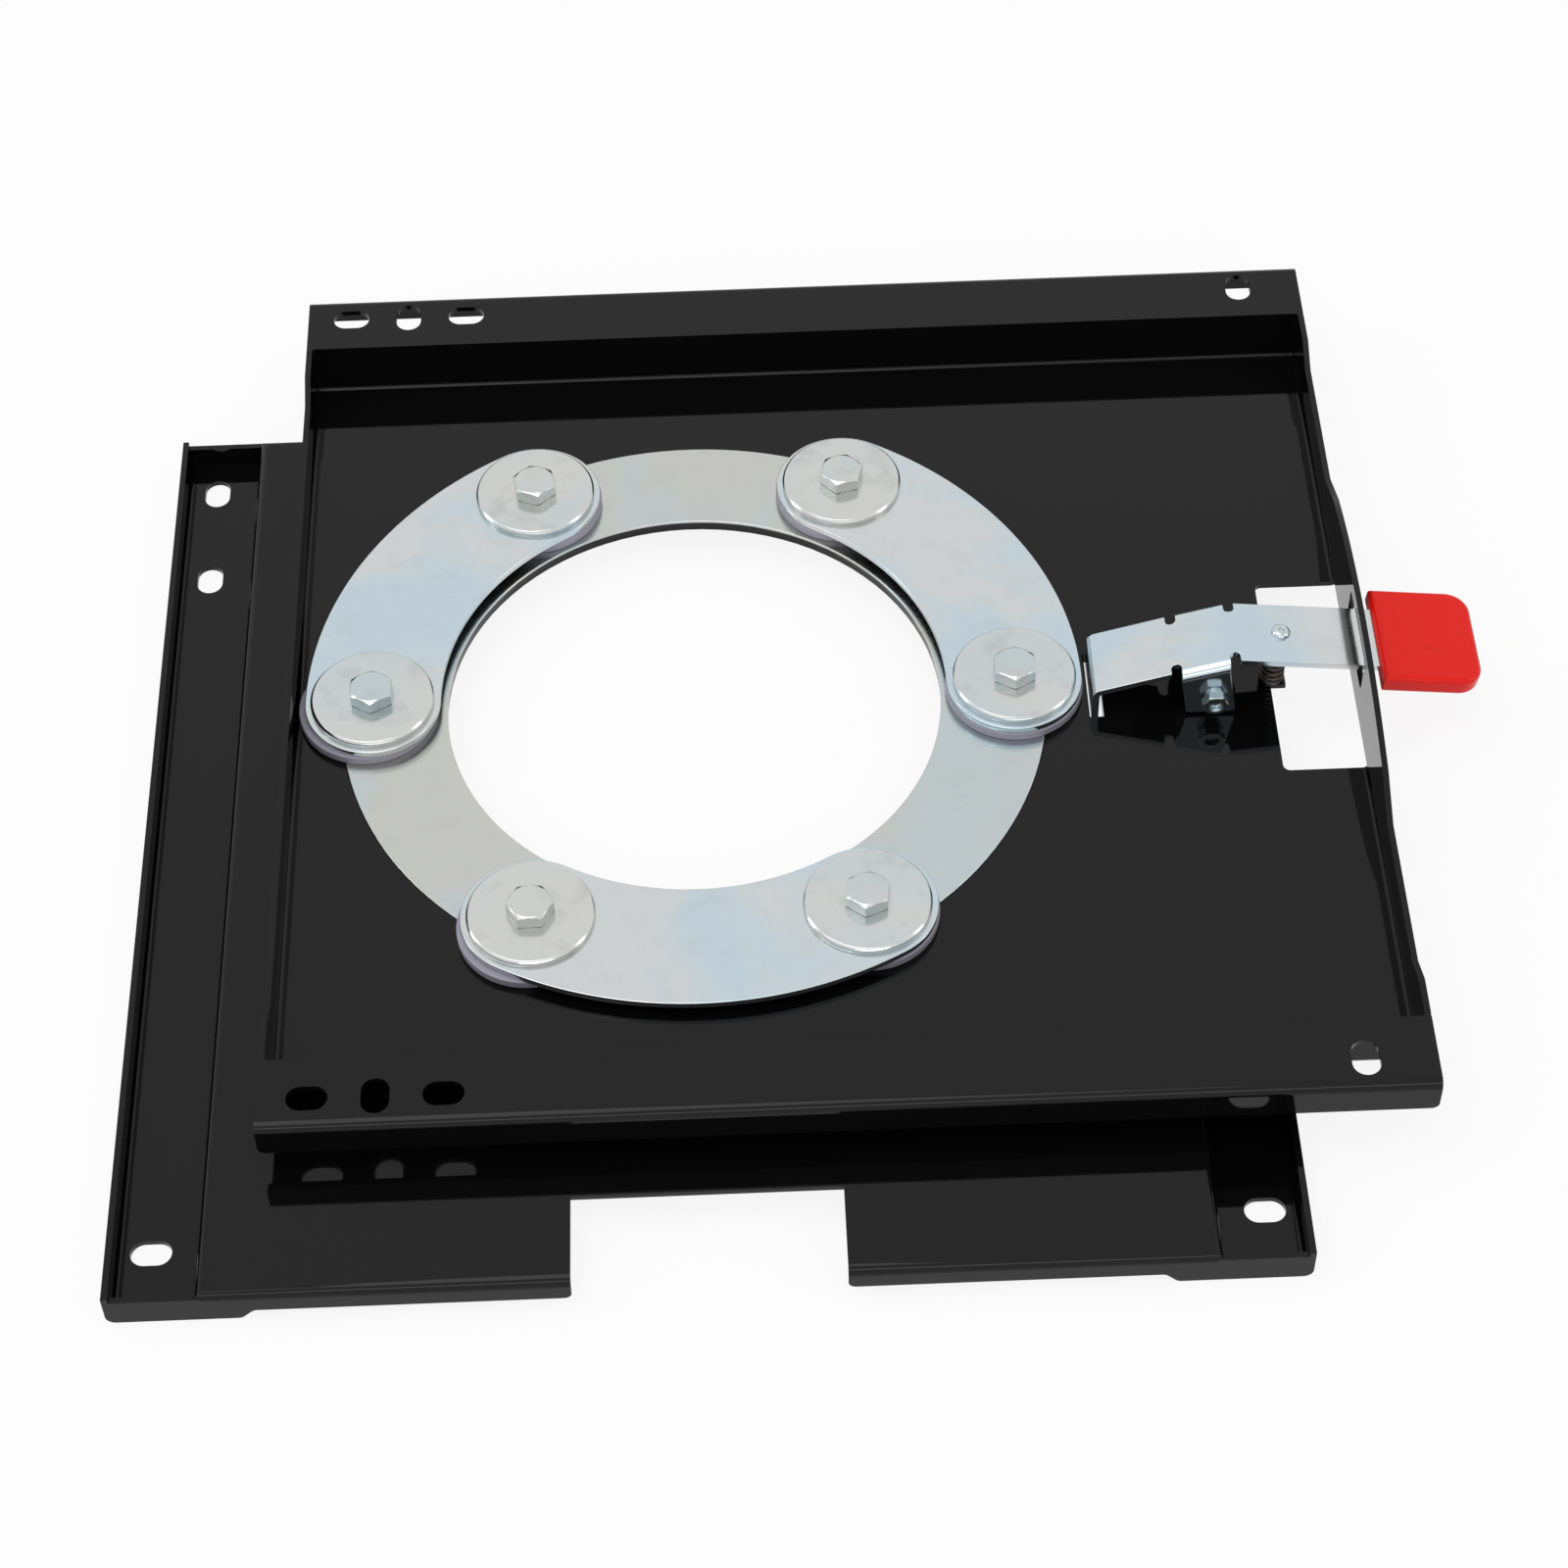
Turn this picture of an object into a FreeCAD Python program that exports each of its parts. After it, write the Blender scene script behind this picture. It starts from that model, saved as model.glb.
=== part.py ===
import FreeCAD, Part
import Sketcher
import math
import os
import re

# Swivel seat base: a lower tray that is bolted to a seat box, an upper tray
# that carries the seat and turns on it, and a sprung lever that locks the turn.
# The origin is the swivel axis at the resting plane, +X points along the lever
# and +Z points up. All sizes are in millimetres and degrees.

SIZES = {
    # Sheet metal of both trays
    "sheet_thickness": "2.5",
    "bend_radius": "1.5",
    "corner_radius": "3",
    "slot_width": "11",
    "slot_length": "16",
    # Lower tray: a raised platform between two mounting channels
    "base_width": "455",
    "base_front": "282.5",
    "base_rear": "167.5",
    "platform_width": "386",
    "platform_height": "16",
    "channel_end_drop": "2.5",
    "skirt_lift": "5",
    "skirt_foot": "16.5",
    "notch_width": "104",
    "notch_depth": "38",
    "base_hole_radius": "105.5",
    "base_slot_inset": "15",
    "front_slot_inset": "28.5",
    "rear_slot_inset": "20",
    "rear_slot_pitch": "52.5",
    # Bearing stack on six bolts
    "bolt_circle": "135",
    "bolt_radius": "5",
    "bolt_length": "25",
    "bolt_clearance": "0.5",
    "head_across": "17",
    "head_height": "6.4",
    "nut_height": "8",
    "thread_clearance": "0.05",
    "running_gap": "0.3",
    "glide_gap": "0.2",
    "ring_inner": "104",
    "ring_outer": "148.5",
    "disc_radius": "29",
    "disc_thickness": "4",
    "disc_bore": "6.5",
    "clamp_half_width": "28.5",
    "clamp_thickness": "3",
    "washer_radius": "26",
    "washer_thickness": "3",
    "washer_bevel": "1",
    # Upper tray: a pan with two raised mounting flanges
    "tray_left": "170",
    "tray_depth": "455",
    "tray_height": "27.7",
    "flange_width": "32",
    "front_lip_height": "16",
    "rear_lip_height": "11",
    "wall_height": "21.7",
    "wall_rise_inset": "17.5",
    "wall_rise_run": "13",
    "hump_foot": "97",
    "hump_shoulder": "76",
    "hump_shoulder_height": "30.7",
    "hump_height": "39.7",
    "flange_slot_inset": "13.5",
    "left_slot_inset": "19.5",
    "left_slot_pitch": "26",
    "right_slot_inset": "27.8",
    "window_reach": "26.1",
    "window_front": "50.5",
    "window_rear": "54",
    "spring_tongue": "6.5",
    "spring_tongue_width": "8",
    # Lever, measured from its pivot
    "tab_gap": "2.5",
    "tab_arm": "50.7",
    "tab_side_play": "1.5",
    "tab_near_play": "1.3",
    "tab_far_play": "2.2",
    "lock_near_play": "0.3",
    "tab_rest_gap": "0.4",
    "wall_arm": "62.8",
    "pivot_height": "11.2",
    "lever_thickness": "3",
    "lever_width": "32",
    "lever_inner_height": "2.5",
    "knee_arm": "16.2",
    "knee_height": "13",
    "peak_arm": "7.8",
    "peak_height": "19.7",
    "arm_slope": "6.8",
    "relief_width": "4.2",
    "relief_depth": "4.7",
    "ear_step": "2.5",
    "ear_straight": "5",
    "ear_lean": "9",
    "ear_foot_gap": "1.6",
    "ear_corner": "1.5",
    "bracket_radius": "9",
    "bracket_length": "20",
    "bracket_play": "0.3",
    "pivot_radius": "3",
    "pivot_clearance": "0.1",
    "pivot_head_across": "10",
    "pivot_head_height": "4",
    "pivot_nut_height": "5.5",
    "pivot_flange_radius": "7",
    "pivot_flange_thickness": "1.5",
    "pivot_bolt_recess": "1.5",
    "lever_slot_half_width": "21",
    "lever_slot_low": "3",
    "lever_slot_high": "20",
    # Grip
    "grip_start": "68.3",
    "grip_length": "42.3",
    "grip_width": "50.6",
    "grip_wall": "3",
    "grip_end_wall": "6",
    "grip_corner": "10",
    "grip_edge": "2.5",
    # Return spring and the rivet that keeps it in place
    "spring_arm": "26.8",
    "spring_offset": "0.5",
    "spring_radius": "4.65",
    "spring_wire_radius": "0.65",
    "spring_turns": "9",
    "spring_end_gap": "0.3",
    "rivet_arm": "28.4",
    "rivet_radius": "2",
    "rivet_clearance": "0.05",
    "rivet_head_radius": "4",
    "rivet_head_rim": "0.8",
    "rivet_head_height": "2.2",
    "rivet_crown_radius": "2.4",
    "rivet_tail_radius": "2.4",
    "rivet_tail_length": "4",
    "rivet_tail_bevel": "0.8",
}

# Places that follow from the sizes, as formulas
FLOOR_UNDER = "(platform_height + running_gap)"
FLOOR_TOP = f"({FLOOR_UNDER} + sheet_thickness)"
DISC_UNDER = f"({FLOOR_TOP} + glide_gap)"
CLAMP_UNDER = f"({DISC_UNDER} + disc_thickness)"
WASHER_UNDER = f"({CLAMP_UNDER} + clamp_thickness)"
HEAD_UNDER = f"({WASHER_UNDER} + washer_thickness)"
PLATFORM_UNDER = "(platform_height - sheet_thickness)"
OUTER_BEND = "(bend_radius + sheet_thickness)"
TAB_X = "(bolt_circle + disc_radius + tab_gap)"
PIVOT_X = f"({TAB_X} + tab_arm)"
PIVOT_Z = f"({FLOOR_TOP} + pivot_height)"
WALL_X = f"({PIVOT_X} + wall_arm)"
FLANGE_TOP = f"({FLOOR_UNDER} + tray_height)"
FLANGE_EDGE = "(tray_depth / 2 - flange_width)"
FLANGE_SLOT_Y = "(tray_depth / 2 - flange_slot_inset)"
WINDOW_X = f"({PIVOT_X} + window_reach)"
PEAK_X = f"({PIVOT_X} + peak_arm)"
PEAK_Z = f"({PIVOT_Z} + peak_height)"
KNEE_X = f"({PIVOT_X} - knee_arm)"
KNEE_Z = f"({PIVOT_Z} + knee_height)"
LEVER_HALF = "(lever_width / 2)"
EAR_OUTER = f"({LEVER_HALF} + ear_step)"
EAR_INNER = f"({EAR_OUTER} - lever_thickness)"
CHEEK_OUTER = f"({EAR_INNER} - bracket_play)"
PIVOT_BORE = "(pivot_radius + pivot_clearance)"
TAB_SLOT_HALF = f"({LEVER_HALF} + tab_side_play)"
TAB_SLOT_NEAR = f"({TAB_X} - tab_near_play)"
TAB_SLOT_FAR = f"({TAB_X} + lever_thickness + tab_far_play)"
LOCK_SLOT_NEAR = f"({TAB_X} - lock_near_play)"

# How far a cutting outline reaches past the metal
PAST = "1"

# Degrees between bolts, where the lever locks, and how each screw head happens to stand
BOLT_STEP = 60
LOCK_TURNS = (0, 180, -90)
HEAD_TURNS = (30, 14, 40, 30, 0, 22)

# How near two places must be to count as the same one, in millimetres
CLOSE = 0.001

doc = FreeCAD.newDocument("swivel_seat_base")
sizes = doc.addObject("Spreadsheet::Sheet", "sizes")
for row, (name, value) in enumerate(SIZES.items(), start=1):
    sizes.set(f"A{row}", name)
    sizes.set(f"B{row}", value)
    sizes.setAlias(f"B{row}", name)
doc.recompute()


def linked(formula):
    """Write a formula with the sheet's name before each size."""
    def link(word):
        return "sizes." + word[0] if word[0] in SIZES else word[0]
    return re.sub(r"[a-z][a-z_]+", link, formula)


def value_of(formula):
    """Work out a formula from the sheet's present values."""
    return float(sizes.evalExpression(linked(formula)))


def bind(thing, name, formula):
    """Tie a property to the sheet."""
    thing.setExpression(name, linked(formula))


def new_body(label, x="0", y="0", z="0", turn="0", axis=(0, 0, 1)):
    """Start a body at a place, turned about an axis through it."""
    body = doc.addObject("PartDesign::Body", label)
    body.Label = label
    body.Placement = FreeCAD.Placement(FreeCAD.Vector(), FreeCAD.Rotation(FreeCAD.Vector(*axis), 1))
    for name, formula in (("x", x), ("y", y), ("z", z)):
        bind(body, f"Placement.Base.{name}", formula)
    bind(body, "Placement.Rotation.Angle", turn)
    return body


def new_sketch(body, name, plane, lift="0"):
    """Start a sketch on one of the body's own planes, moved along its normal."""
    sketch = body.newObject("Sketcher::SketchObject", name)
    features = body.Origin.OriginFeatures
    support = next(feature for feature in features if feature.Role == plane)
    sketch.AttachmentSupport = [(support, "")]
    sketch.MapMode = "FlatFace"
    bind(sketch, "AttachmentOffset.Base.z", lift)
    return sketch


def pin(sketch, geometry, point, x, y):
    """Hold one point of a sketch at two formulas measured from the origin."""
    for kind, formula in (("DistanceX", x), ("DistanceY", y)):
        rule = Sketcher.Constraint(kind, -1, 1, geometry, point, value_of(formula))
        index = sketch.addConstraint(rule)
        bind(sketch, f"Constraints[{index}]", formula)


def size_arc(sketch, geometry, radius):
    """Tie the radius of an arc or circle to a formula."""
    index = sketch.addConstraint(Sketcher.Constraint("Radius", geometry, value_of(radius)))
    bind(sketch, f"Constraints[{index}]", radius)


def vector(x, y):
    """Give a sketch point at two formulas."""
    return FreeCAD.Vector(value_of(x), value_of(y), 0)


def draw_polygon(sketch, corners):
    """Draw a closed outline through corners given as pairs of formulas."""
    points = [vector(*corner) for corner in corners]
    count = len(points)
    lines = [Part.LineSegment(points[i], points[(i + 1) % count]) for i in range(count)]
    first = sketch.addGeometry(lines, False)[0]
    for i in range(count):
        rule = Sketcher.Constraint("Coincident", first + i, 2, first + (i + 1) % count, 1)
        sketch.addConstraint(rule)
    for i, (x, y) in enumerate(corners):
        pin(sketch, first + i, 1, x, y)


def draw_box(sketch, left, right, low, high):
    """Draw a rectangle between four formulas."""
    draw_polygon(sketch, [(left, low), (right, low), (right, high), (left, high)])


def draw_circle(sketch, x, y, radius):
    """Draw a circle at two formulas."""
    circle = Part.Circle(vector(x, y), FreeCAD.Vector(0, 0, 1), value_of(radius))
    geometry = sketch.addGeometry(circle, False)
    pin(sketch, geometry, 3, x, y)
    size_arc(sketch, geometry, radius)


def draw_slot(sketch, x, y, length, width, along_x):
    """Draw a slot with round ends about its centre."""
    reach = f"(({length}) - ({width})) / 2"
    ends = [(f"{x} - {reach}", y), (f"{x} + {reach}", y)]
    if not along_x:
        ends = [(x, f"{y} - {reach}"), (x, f"{y} + {reach}")]
    start, stop = [vector(*end) for end in ends]
    radius = value_of(width) / 2
    course = math.atan2(stop.y - start.y, stop.x - start.x)
    side = FreeCAD.Vector(-math.sin(course), math.cos(course), 0) * radius
    normal = FreeCAD.Vector(0, 0, 1)
    quarter = math.pi / 2
    parts = [
        Part.ArcOfCircle(Part.Circle(start, normal, radius), course + quarter, course + 3 * quarter),
        Part.LineSegment(start - side, stop - side),
        Part.ArcOfCircle(Part.Circle(stop, normal, radius), course - quarter, course + quarter),
        Part.LineSegment(stop + side, start + side),
    ]
    first = sketch.addGeometry(parts, False)[0]
    for i in range(4):
        rule = Sketcher.Constraint("Tangent", first + i, 2, first + (i + 1) % 4, 1)
        sketch.addConstraint(rule)
    pin(sketch, first, 3, *ends[0])
    pin(sketch, first + 2, 3, *ends[1])
    sketch.addConstraint(Sketcher.Constraint("Equal", first, first + 2))
    size_arc(sketch, first, f"({width}) / 2")


def add_pad(body, sketch, length, back=False):
    """Grow material from a sketch along its normal, or against it."""
    feature = body.newObject("PartDesign::Pad", sketch.Name + "_pad")
    feature.Profile = sketch
    feature.Reversed = back
    bind(feature, "Length", length)
    doc.recompute()
    return feature


def cut_pocket(body, sketch, length, forward=False):
    """Cut against the sketch's normal, or along it, and see that material went."""
    before = body.Shape.Volume
    feature = body.newObject("PartDesign::Pocket", sketch.Name + "_pocket")
    feature.Profile = sketch
    feature.Reversed = forward
    bind(feature, "Length", length)
    doc.recompute()
    if not body.Shape.Volume < before:
        raise RuntimeError(f"{feature.Name} cut nothing")
    return feature


def lines_along(body, axis, **places):
    """Name the straight edges along an axis, or any axis if it is empty, by their middles."""
    names = []
    for number, edge in enumerate(body.Tip.Shape.Edges, start=1):
        ends = [vertex.Point for vertex in edge.Vertexes]
        if len(ends) != 2:
            continue
        span = ends[1] - ends[0]
        reach = abs(getattr(span, axis)) if axis else span.Length
        if max(edge.Length, span.Length) - reach > CLOSE or edge.Length - span.Length > CLOSE:
            continue
        middle = ends[0] + span / 2
        if all(abs(getattr(middle, key) - value_of(place)) < CLOSE for key, place in places.items()):
            names.append(f"Edge{number}")
    return names


def round_edges(body, name, radius, edges):
    """Fillet the named edges of the body as it stands."""
    if not edges:
        raise RuntimeError(f"{name} found no edges")
    base = body.Tip
    feature = body.newObject("PartDesign::Fillet", name)
    feature.Base = (base, edges)
    bind(feature, "Radius", radius)
    body.Tip = feature
    doc.recompute()
    return feature


def hollow(body, name, face, thickness):
    """Leave a wall of even thickness inside the solid, open at one face."""
    base = body.Tip
    feature = body.newObject("PartDesign::Thickness", name)
    feature.Base = (base, [face])
    feature.Reversed = True
    bind(feature, "Value", thickness)
    body.Tip = feature
    doc.recompute()
    return feature


def face_at(body, height):
    """Name the level face whose centre lies at a height."""
    for number, face in enumerate(body.Tip.Shape.Faces, start=1):
        if abs(face.CenterOfMass.z - value_of(height)) < CLOSE and face.BoundBox.ZLength < CLOSE:
            return f"Face{number}"
    raise RuntimeError("no level face at that height")


def mirror_across(body, name, originals, plane):
    """Repeat features on the other side of one of the body's planes."""
    feature = body.newObject("PartDesign::Mirrored", name)
    planes = body.Origin.OriginFeatures
    feature.MirrorPlane = (next(item for item in planes if item.Role == plane), [""])
    feature.Originals = originals
    body.Tip = feature
    doc.recompute()
    return feature


def turned_piece(label, outline, **place):
    """Turn an outline of radius and height about the vertical."""
    body = new_body(label, **place)
    sketch = new_sketch(body, label + "_section", "XZ_Plane")
    draw_polygon(sketch, outline)
    feature = body.newObject("PartDesign::Revolution", label + "_turned")
    feature.Profile = sketch
    feature.ReferenceAxis = (sketch, ["V_Axis"])
    feature.Angle = 360
    doc.recompute()
    return body


def hexagon(sketch, across):
    """Draw a hexagon about the origin from its width across the flats."""
    reach = f"({across}) / 2 / cos(30)"
    corners = [(f"{reach} * cos({60 * k})", f"{reach} * sin({60 * k})") for k in range(6)]
    draw_polygon(sketch, corners)


def around(turn):
    """Give the place of a bolt on its circle as formulas."""
    return {"x": f"bolt_circle * cos({turn})", "y": f"bolt_circle * sin({turn})"}


def make_lower_tray():
    """Pressed and folded sheet: platform, side channels and end skirts."""
    body = new_body("lower_tray")
    half = "platform_width / 2"
    side = "base_width / 2"
    block = new_sketch(body, "platform", "XY_Plane")
    draw_box(block, f"-{half}", half, "-base_front", "base_rear")
    add_pad(body, block, "platform_height")
    top = {"z": "platform_height"}
    rim = lines_along(body, "x", **top) + lines_along(body, "y", **top)
    round_edges(body, "platform_bends", OUTER_BEND, rim)
    hollow(body, "platform_sheet", face_at(body, "0"), "sheet_thickness")

    # The channel's floor and its upright outer lip
    inner = f"({half} - sheet_thickness)"
    channel = new_sketch(body, "channel", "XZ_Plane", "-base_rear")
    lip = f"({side} - sheet_thickness)"
    corners = [(inner, "0"), (side, "0"), (side, "platform_height"), (lip, "platform_height")]
    corners += [(lip, "sheet_thickness"), (inner, "sheet_thickness")]
    draw_polygon(channel, corners)
    channel_pad = add_pad(body, channel, "base_front + base_rear")
    ends = new_sketch(body, "channel_ends", "XY_Plane")
    draw_box(ends, inner, side, "-base_front", "-base_front + sheet_thickness")
    draw_box(ends, inner, side, "base_rear - sheet_thickness", "base_rear")
    end_pad = add_pad(body, ends, "platform_height - channel_end_drop")
    mirror_across(body, "left_channel", [channel_pad, end_pad], "YZ_Plane")

    # The bends of the channels
    outer_bends = []
    for sign in ("", "-"):
        outer_bends += lines_along(body, "y", x=f"{sign}({side})", z="0")
    round_edges(body, "channel_outer_bends", OUTER_BEND, outer_bends)
    inner_bends = []
    for sign in ("", "-"):
        inner_bends += lines_along(body, "y", x=f"{sign}({lip})", z="sheet_thickness")
        inner_bends += lines_along(body, "y", x=f"{sign}({half})", z="sheet_thickness")
    round_edges(body, "channel_inner_bends", "bend_radius", inner_bends)

    # The middle of each skirt is lifted clear, so the base rests on its ends
    foot = f"({half} - skirt_foot)"
    relief = new_sketch(body, "skirt_relief", "XZ_Plane", f"base_front + {PAST}")
    step = f"({foot} - skirt_lift)"
    corners = [(f"-{foot}", "0"), (foot, "0"), (step, "skirt_lift"), (f"-{step}", "skirt_lift")]
    draw_polygon(relief, corners)
    cut_pocket(body, relief, f"base_front + base_rear + 2 * {PAST}")

    notch = new_sketch(body, "front_notch", "XY_Plane", "platform_height")
    reach = f"-base_front - {PAST}"
    draw_box(notch, "-notch_width / 2", "notch_width / 2", reach, "-base_front + notch_depth")
    cut_pocket(body, notch, "platform_height")
    skirt_corners = []
    for sign in ("", "-"):
        skirt_corners += lines_along(body, "y", x=f"{sign}{foot}", z="0")
        skirt_corners += lines_along(body, "y", x=f"{sign}{step}", z="skirt_lift")
        skirt_corners += lines_along(body, "y", x=f"{sign}(notch_width / 2)", z="skirt_lift")
    round_edges(body, "skirt_corners", "corner_radius", skirt_corners)

    holes = new_sketch(body, "bearing_holes", "XY_Plane", "platform_height")
    draw_circle(holes, "0", "0", "base_hole_radius")
    for i in range(6):
        spot = around(BOLT_STEP * i)
        draw_circle(holes, spot["x"], spot["y"], "bolt_radius + bolt_clearance")
    cut_pocket(body, holes, "platform_height")

    # Slots that take the lever's tab at each locked position
    locks = new_sketch(body, "lock_slots", "XY_Plane", "platform_height")
    for turn in LOCK_TURNS:
        corners = [(LOCK_SLOT_NEAR, f"-{TAB_SLOT_HALF}"), (TAB_SLOT_FAR, f"-{TAB_SLOT_HALF}")]
        corners += [(TAB_SLOT_FAR, TAB_SLOT_HALF), (LOCK_SLOT_NEAR, TAB_SLOT_HALF)]
        spun = []
        for x, y in corners:
            across = f"{x} * cos({turn}) - ({y}) * sin({turn})"
            along = f"{x} * sin({turn}) + ({y}) * cos({turn})"
            spun.append((across, along))
        draw_polygon(locks, spun)
    cut_pocket(body, locks, "platform_height - skirt_lift")

    slots = new_sketch(body, "base_slots", "XY_Plane", "sheet_thickness")
    for sign in ("-", ""):
        x = f"{sign}({side} - base_slot_inset)"
        draw_slot(slots, x, "-base_front + front_slot_inset", "slot_length", "slot_width", True)
        for step in ("0", "rear_slot_pitch"):
            y = f"base_rear - rear_slot_inset - {step}"
            draw_slot(slots, x, y, "slot_length", "slot_width", False)
    cut_pocket(body, slots, "sheet_thickness")
    return body


def make_upper_tray():
    """Pan with upright walls and raised side flanges that carry the seat."""
    body = new_body("upper_tray")
    outer = f"({FLANGE_EDGE} + sheet_thickness)"
    block = new_sketch(body, "pan", "XY_Plane", FLOOR_UNDER)
    draw_box(block, "-tray_left", WALL_X, f"-{outer}", outer)
    add_pad(body, block, "tray_height")
    low = {"z": FLOOR_UNDER}
    rim = lines_along(body, "x", **low) + lines_along(body, "y", **low) + lines_along(body, "z")
    round_edges(body, "pan_bends", OUTER_BEND, rim)
    hollow(body, "pan_sheet", face_at(body, FLANGE_TOP), "sheet_thickness")

    # Flanges with turned-down lips; the front lip is the deeper one
    edge = "(tray_depth / 2)"
    lip = f"({edge} - sheet_thickness)"
    under = f"({FLANGE_TOP} - sheet_thickness)"
    for side, sign in (("rear", ""), ("front", "-")):
        foot = f"{FLANGE_TOP} - {side}_lip_height"
        flange = new_sketch(body, f"{side}_flange", "YZ_Plane", "-tray_left")
        corners = [(f"{sign}{FLANGE_EDGE}", under), (f"{sign}{lip}", under), (f"{sign}{lip}", foot)]
        corners += [(f"{sign}{edge}", foot), (f"{sign}{edge}", FLANGE_TOP)]
        corners += [(f"{sign}{FLANGE_EDGE}", FLANGE_TOP)]
        draw_polygon(flange, corners)
        add_pad(body, flange, f"tray_left + {WALL_X}")
    for name, radius, place, height in (
        ("lip_outer_bends", OUTER_BEND, edge, FLANGE_TOP),
        ("lip_inner_bends", "bend_radius", lip, under),
    ):
        bends = lines_along(body, "x", y=place, z=height)
        bends += lines_along(body, "x", y=f"-{place}", z=height)
        round_edges(body, name, radius, bends)
    lip_ends = []
    for x in ("-tray_left", WALL_X):
        for side in ("rear", "front"):
            lip_ends += lines_along(body, "y", x=x, z=f"{FLANGE_TOP} - {side}_lip_height")
    round_edges(body, "lip_corners", "corner_radius", lip_ends)

    # The end walls stand lower than the flanges between two slopes
    inset = f"({FLANGE_EDGE} - wall_rise_inset)"
    foot = f"({inset} - wall_rise_run)"
    wall_top = f"({FLOOR_UNDER} + wall_height)"
    above = f"{FLANGE_TOP} + {PAST}"
    dip = [(f"-{inset}", above), (f"-{inset}", FLANGE_TOP), (f"-{foot}", wall_top)]
    dip += [(foot, wall_top), (inset, FLANGE_TOP), (inset, above)]
    dips = new_sketch(body, "wall_dips", "YZ_Plane", f"{WALL_X} + {PAST}")
    draw_polygon(dips, dip)
    cut_pocket(body, dips, f"tray_left + {WALL_X} + 2 * {PAST}")

    # The right wall rises in a hump over the lever
    hump = new_sketch(body, "hump", "YZ_Plane", f"{WALL_X} - sheet_thickness")
    draw_hump(hump)
    add_pad(body, hump, "sheet_thickness")

    floor = new_sketch(body, "floor_hole", "XY_Plane", FLOOR_TOP)
    draw_circle(floor, "0", "0", "ring_outer + running_gap")
    cut_pocket(body, floor, "sheet_thickness")

    tab = new_sketch(body, "tab_slot", "XY_Plane", FLOOR_TOP)
    draw_box(tab, TAB_SLOT_NEAR, TAB_SLOT_FAR, f"-{TAB_SLOT_HALF}", TAB_SLOT_HALF)
    cut_pocket(body, tab, "sheet_thickness")

    # Window under the lever, with a tongue that carries the spring
    window = new_sketch(body, "window", "XY_Plane", f"{FLOOR_UNDER} + {OUTER_BEND}")
    tongue = f"({WINDOW_X} + spring_tongue)"
    low = "(spring_offset - spring_tongue_width / 2)"
    high = "(spring_offset + spring_tongue_width / 2)"
    beyond = f"({WALL_X} + {PAST})"
    corners = [(WINDOW_X, "-window_front"), (beyond, "-window_front"), (beyond, "window_rear")]
    corners += [(WINDOW_X, "window_rear"), (WINDOW_X, high), (tongue, high), (tongue, low)]
    corners += [(WINDOW_X, low)]
    draw_polygon(window, corners)
    cut_pocket(body, window, OUTER_BEND)
    corner_edges = lines_along(body, "z", x=WINDOW_X, y="-window_front")
    corner_edges += lines_along(body, "z", x=WINDOW_X, y="window_rear")
    round_edges(body, "window_corners", "corner_radius", corner_edges)

    lever_slot = new_sketch(body, "lever_slot", "YZ_Plane", f"{WALL_X} + {PAST}")
    low = f"{PIVOT_Z} + lever_slot_low"
    high = f"{PIVOT_Z} + lever_slot_high"
    draw_box(lever_slot, "-lever_slot_half_width", "lever_slot_half_width", low, high)
    cut_pocket(body, lever_slot, f"sheet_thickness + 2 * {PAST}")
    slot_edges = []
    for y in ("-lever_slot_half_width", "lever_slot_half_width"):
        for z in (low, high):
            slot_edges += lines_along(body, "x", y=y, z=z)
    round_edges(body, "lever_slot_corners", "corner_radius", slot_edges)

    slots = new_sketch(body, "flange_slots", "XY_Plane", FLANGE_TOP)
    for y in (f"-{FLANGE_SLOT_Y}", FLANGE_SLOT_Y):
        for step in (0, 2):
            x = f"-tray_left + left_slot_inset + {step} * left_slot_pitch"
            draw_slot(slots, x, y, "slot_length", "slot_width", True)
        for x in ("-tray_left + left_slot_inset + left_slot_pitch", f"{WALL_X} - right_slot_inset"):
            draw_slot(slots, x, y, "slot_length", "slot_width", False)
    cut_pocket(body, slots, "sheet_thickness")
    return body


def draw_hump(sketch):
    """Draw the hump: two slopes and an arc over the lever slot."""
    low = PIVOT_Z
    foot = f"({FLOOR_UNDER} + wall_height)"
    shoulder = f"({FLOOR_UNDER} + hump_shoulder_height)"
    top = f"({FLOOR_UNDER} + hump_height)"
    corners = [("hump_shoulder", shoulder), ("hump_foot", foot), ("hump_foot", low)]
    corners += [("-hump_foot", low), ("-hump_foot", foot), ("-hump_shoulder", shoulder)]
    points = [vector(*corner) for corner in corners]
    lines = [Part.LineSegment(points[i], points[i + 1]) for i in range(5)]
    # The arc over the two shoulders peaks at the hump's height
    rise = f"({top} - {shoulder})"
    radius = f"((hump_shoulder * hump_shoulder + {rise} * {rise}) / (2 * {rise}))"
    centre = vector("0", f"{top} - {radius}")
    circle = Part.Circle(centre, FreeCAD.Vector(0, 0, 1), value_of(radius))
    start = math.atan2(points[0].y - centre.y, points[0].x)
    arc = Part.ArcOfCircle(circle, start, math.pi - start)
    geometry = sketch.addGeometry(lines + [arc], False)
    for i in range(5):
        pin(sketch, geometry[i], 1, *corners[i])
    pin(sketch, geometry[4], 2, *corners[5])
    for i in range(4):
        sketch.addConstraint(Sketcher.Constraint("Coincident", geometry[i], 2, geometry[i + 1], 1))
    size_arc(sketch, geometry[5], radius)
    sketch.addConstraint(Sketcher.Constraint("Coincident", geometry[5], 1, geometry[0], 1))
    sketch.addConstraint(Sketcher.Constraint("Coincident", geometry[5], 2, geometry[4], 2))


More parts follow.
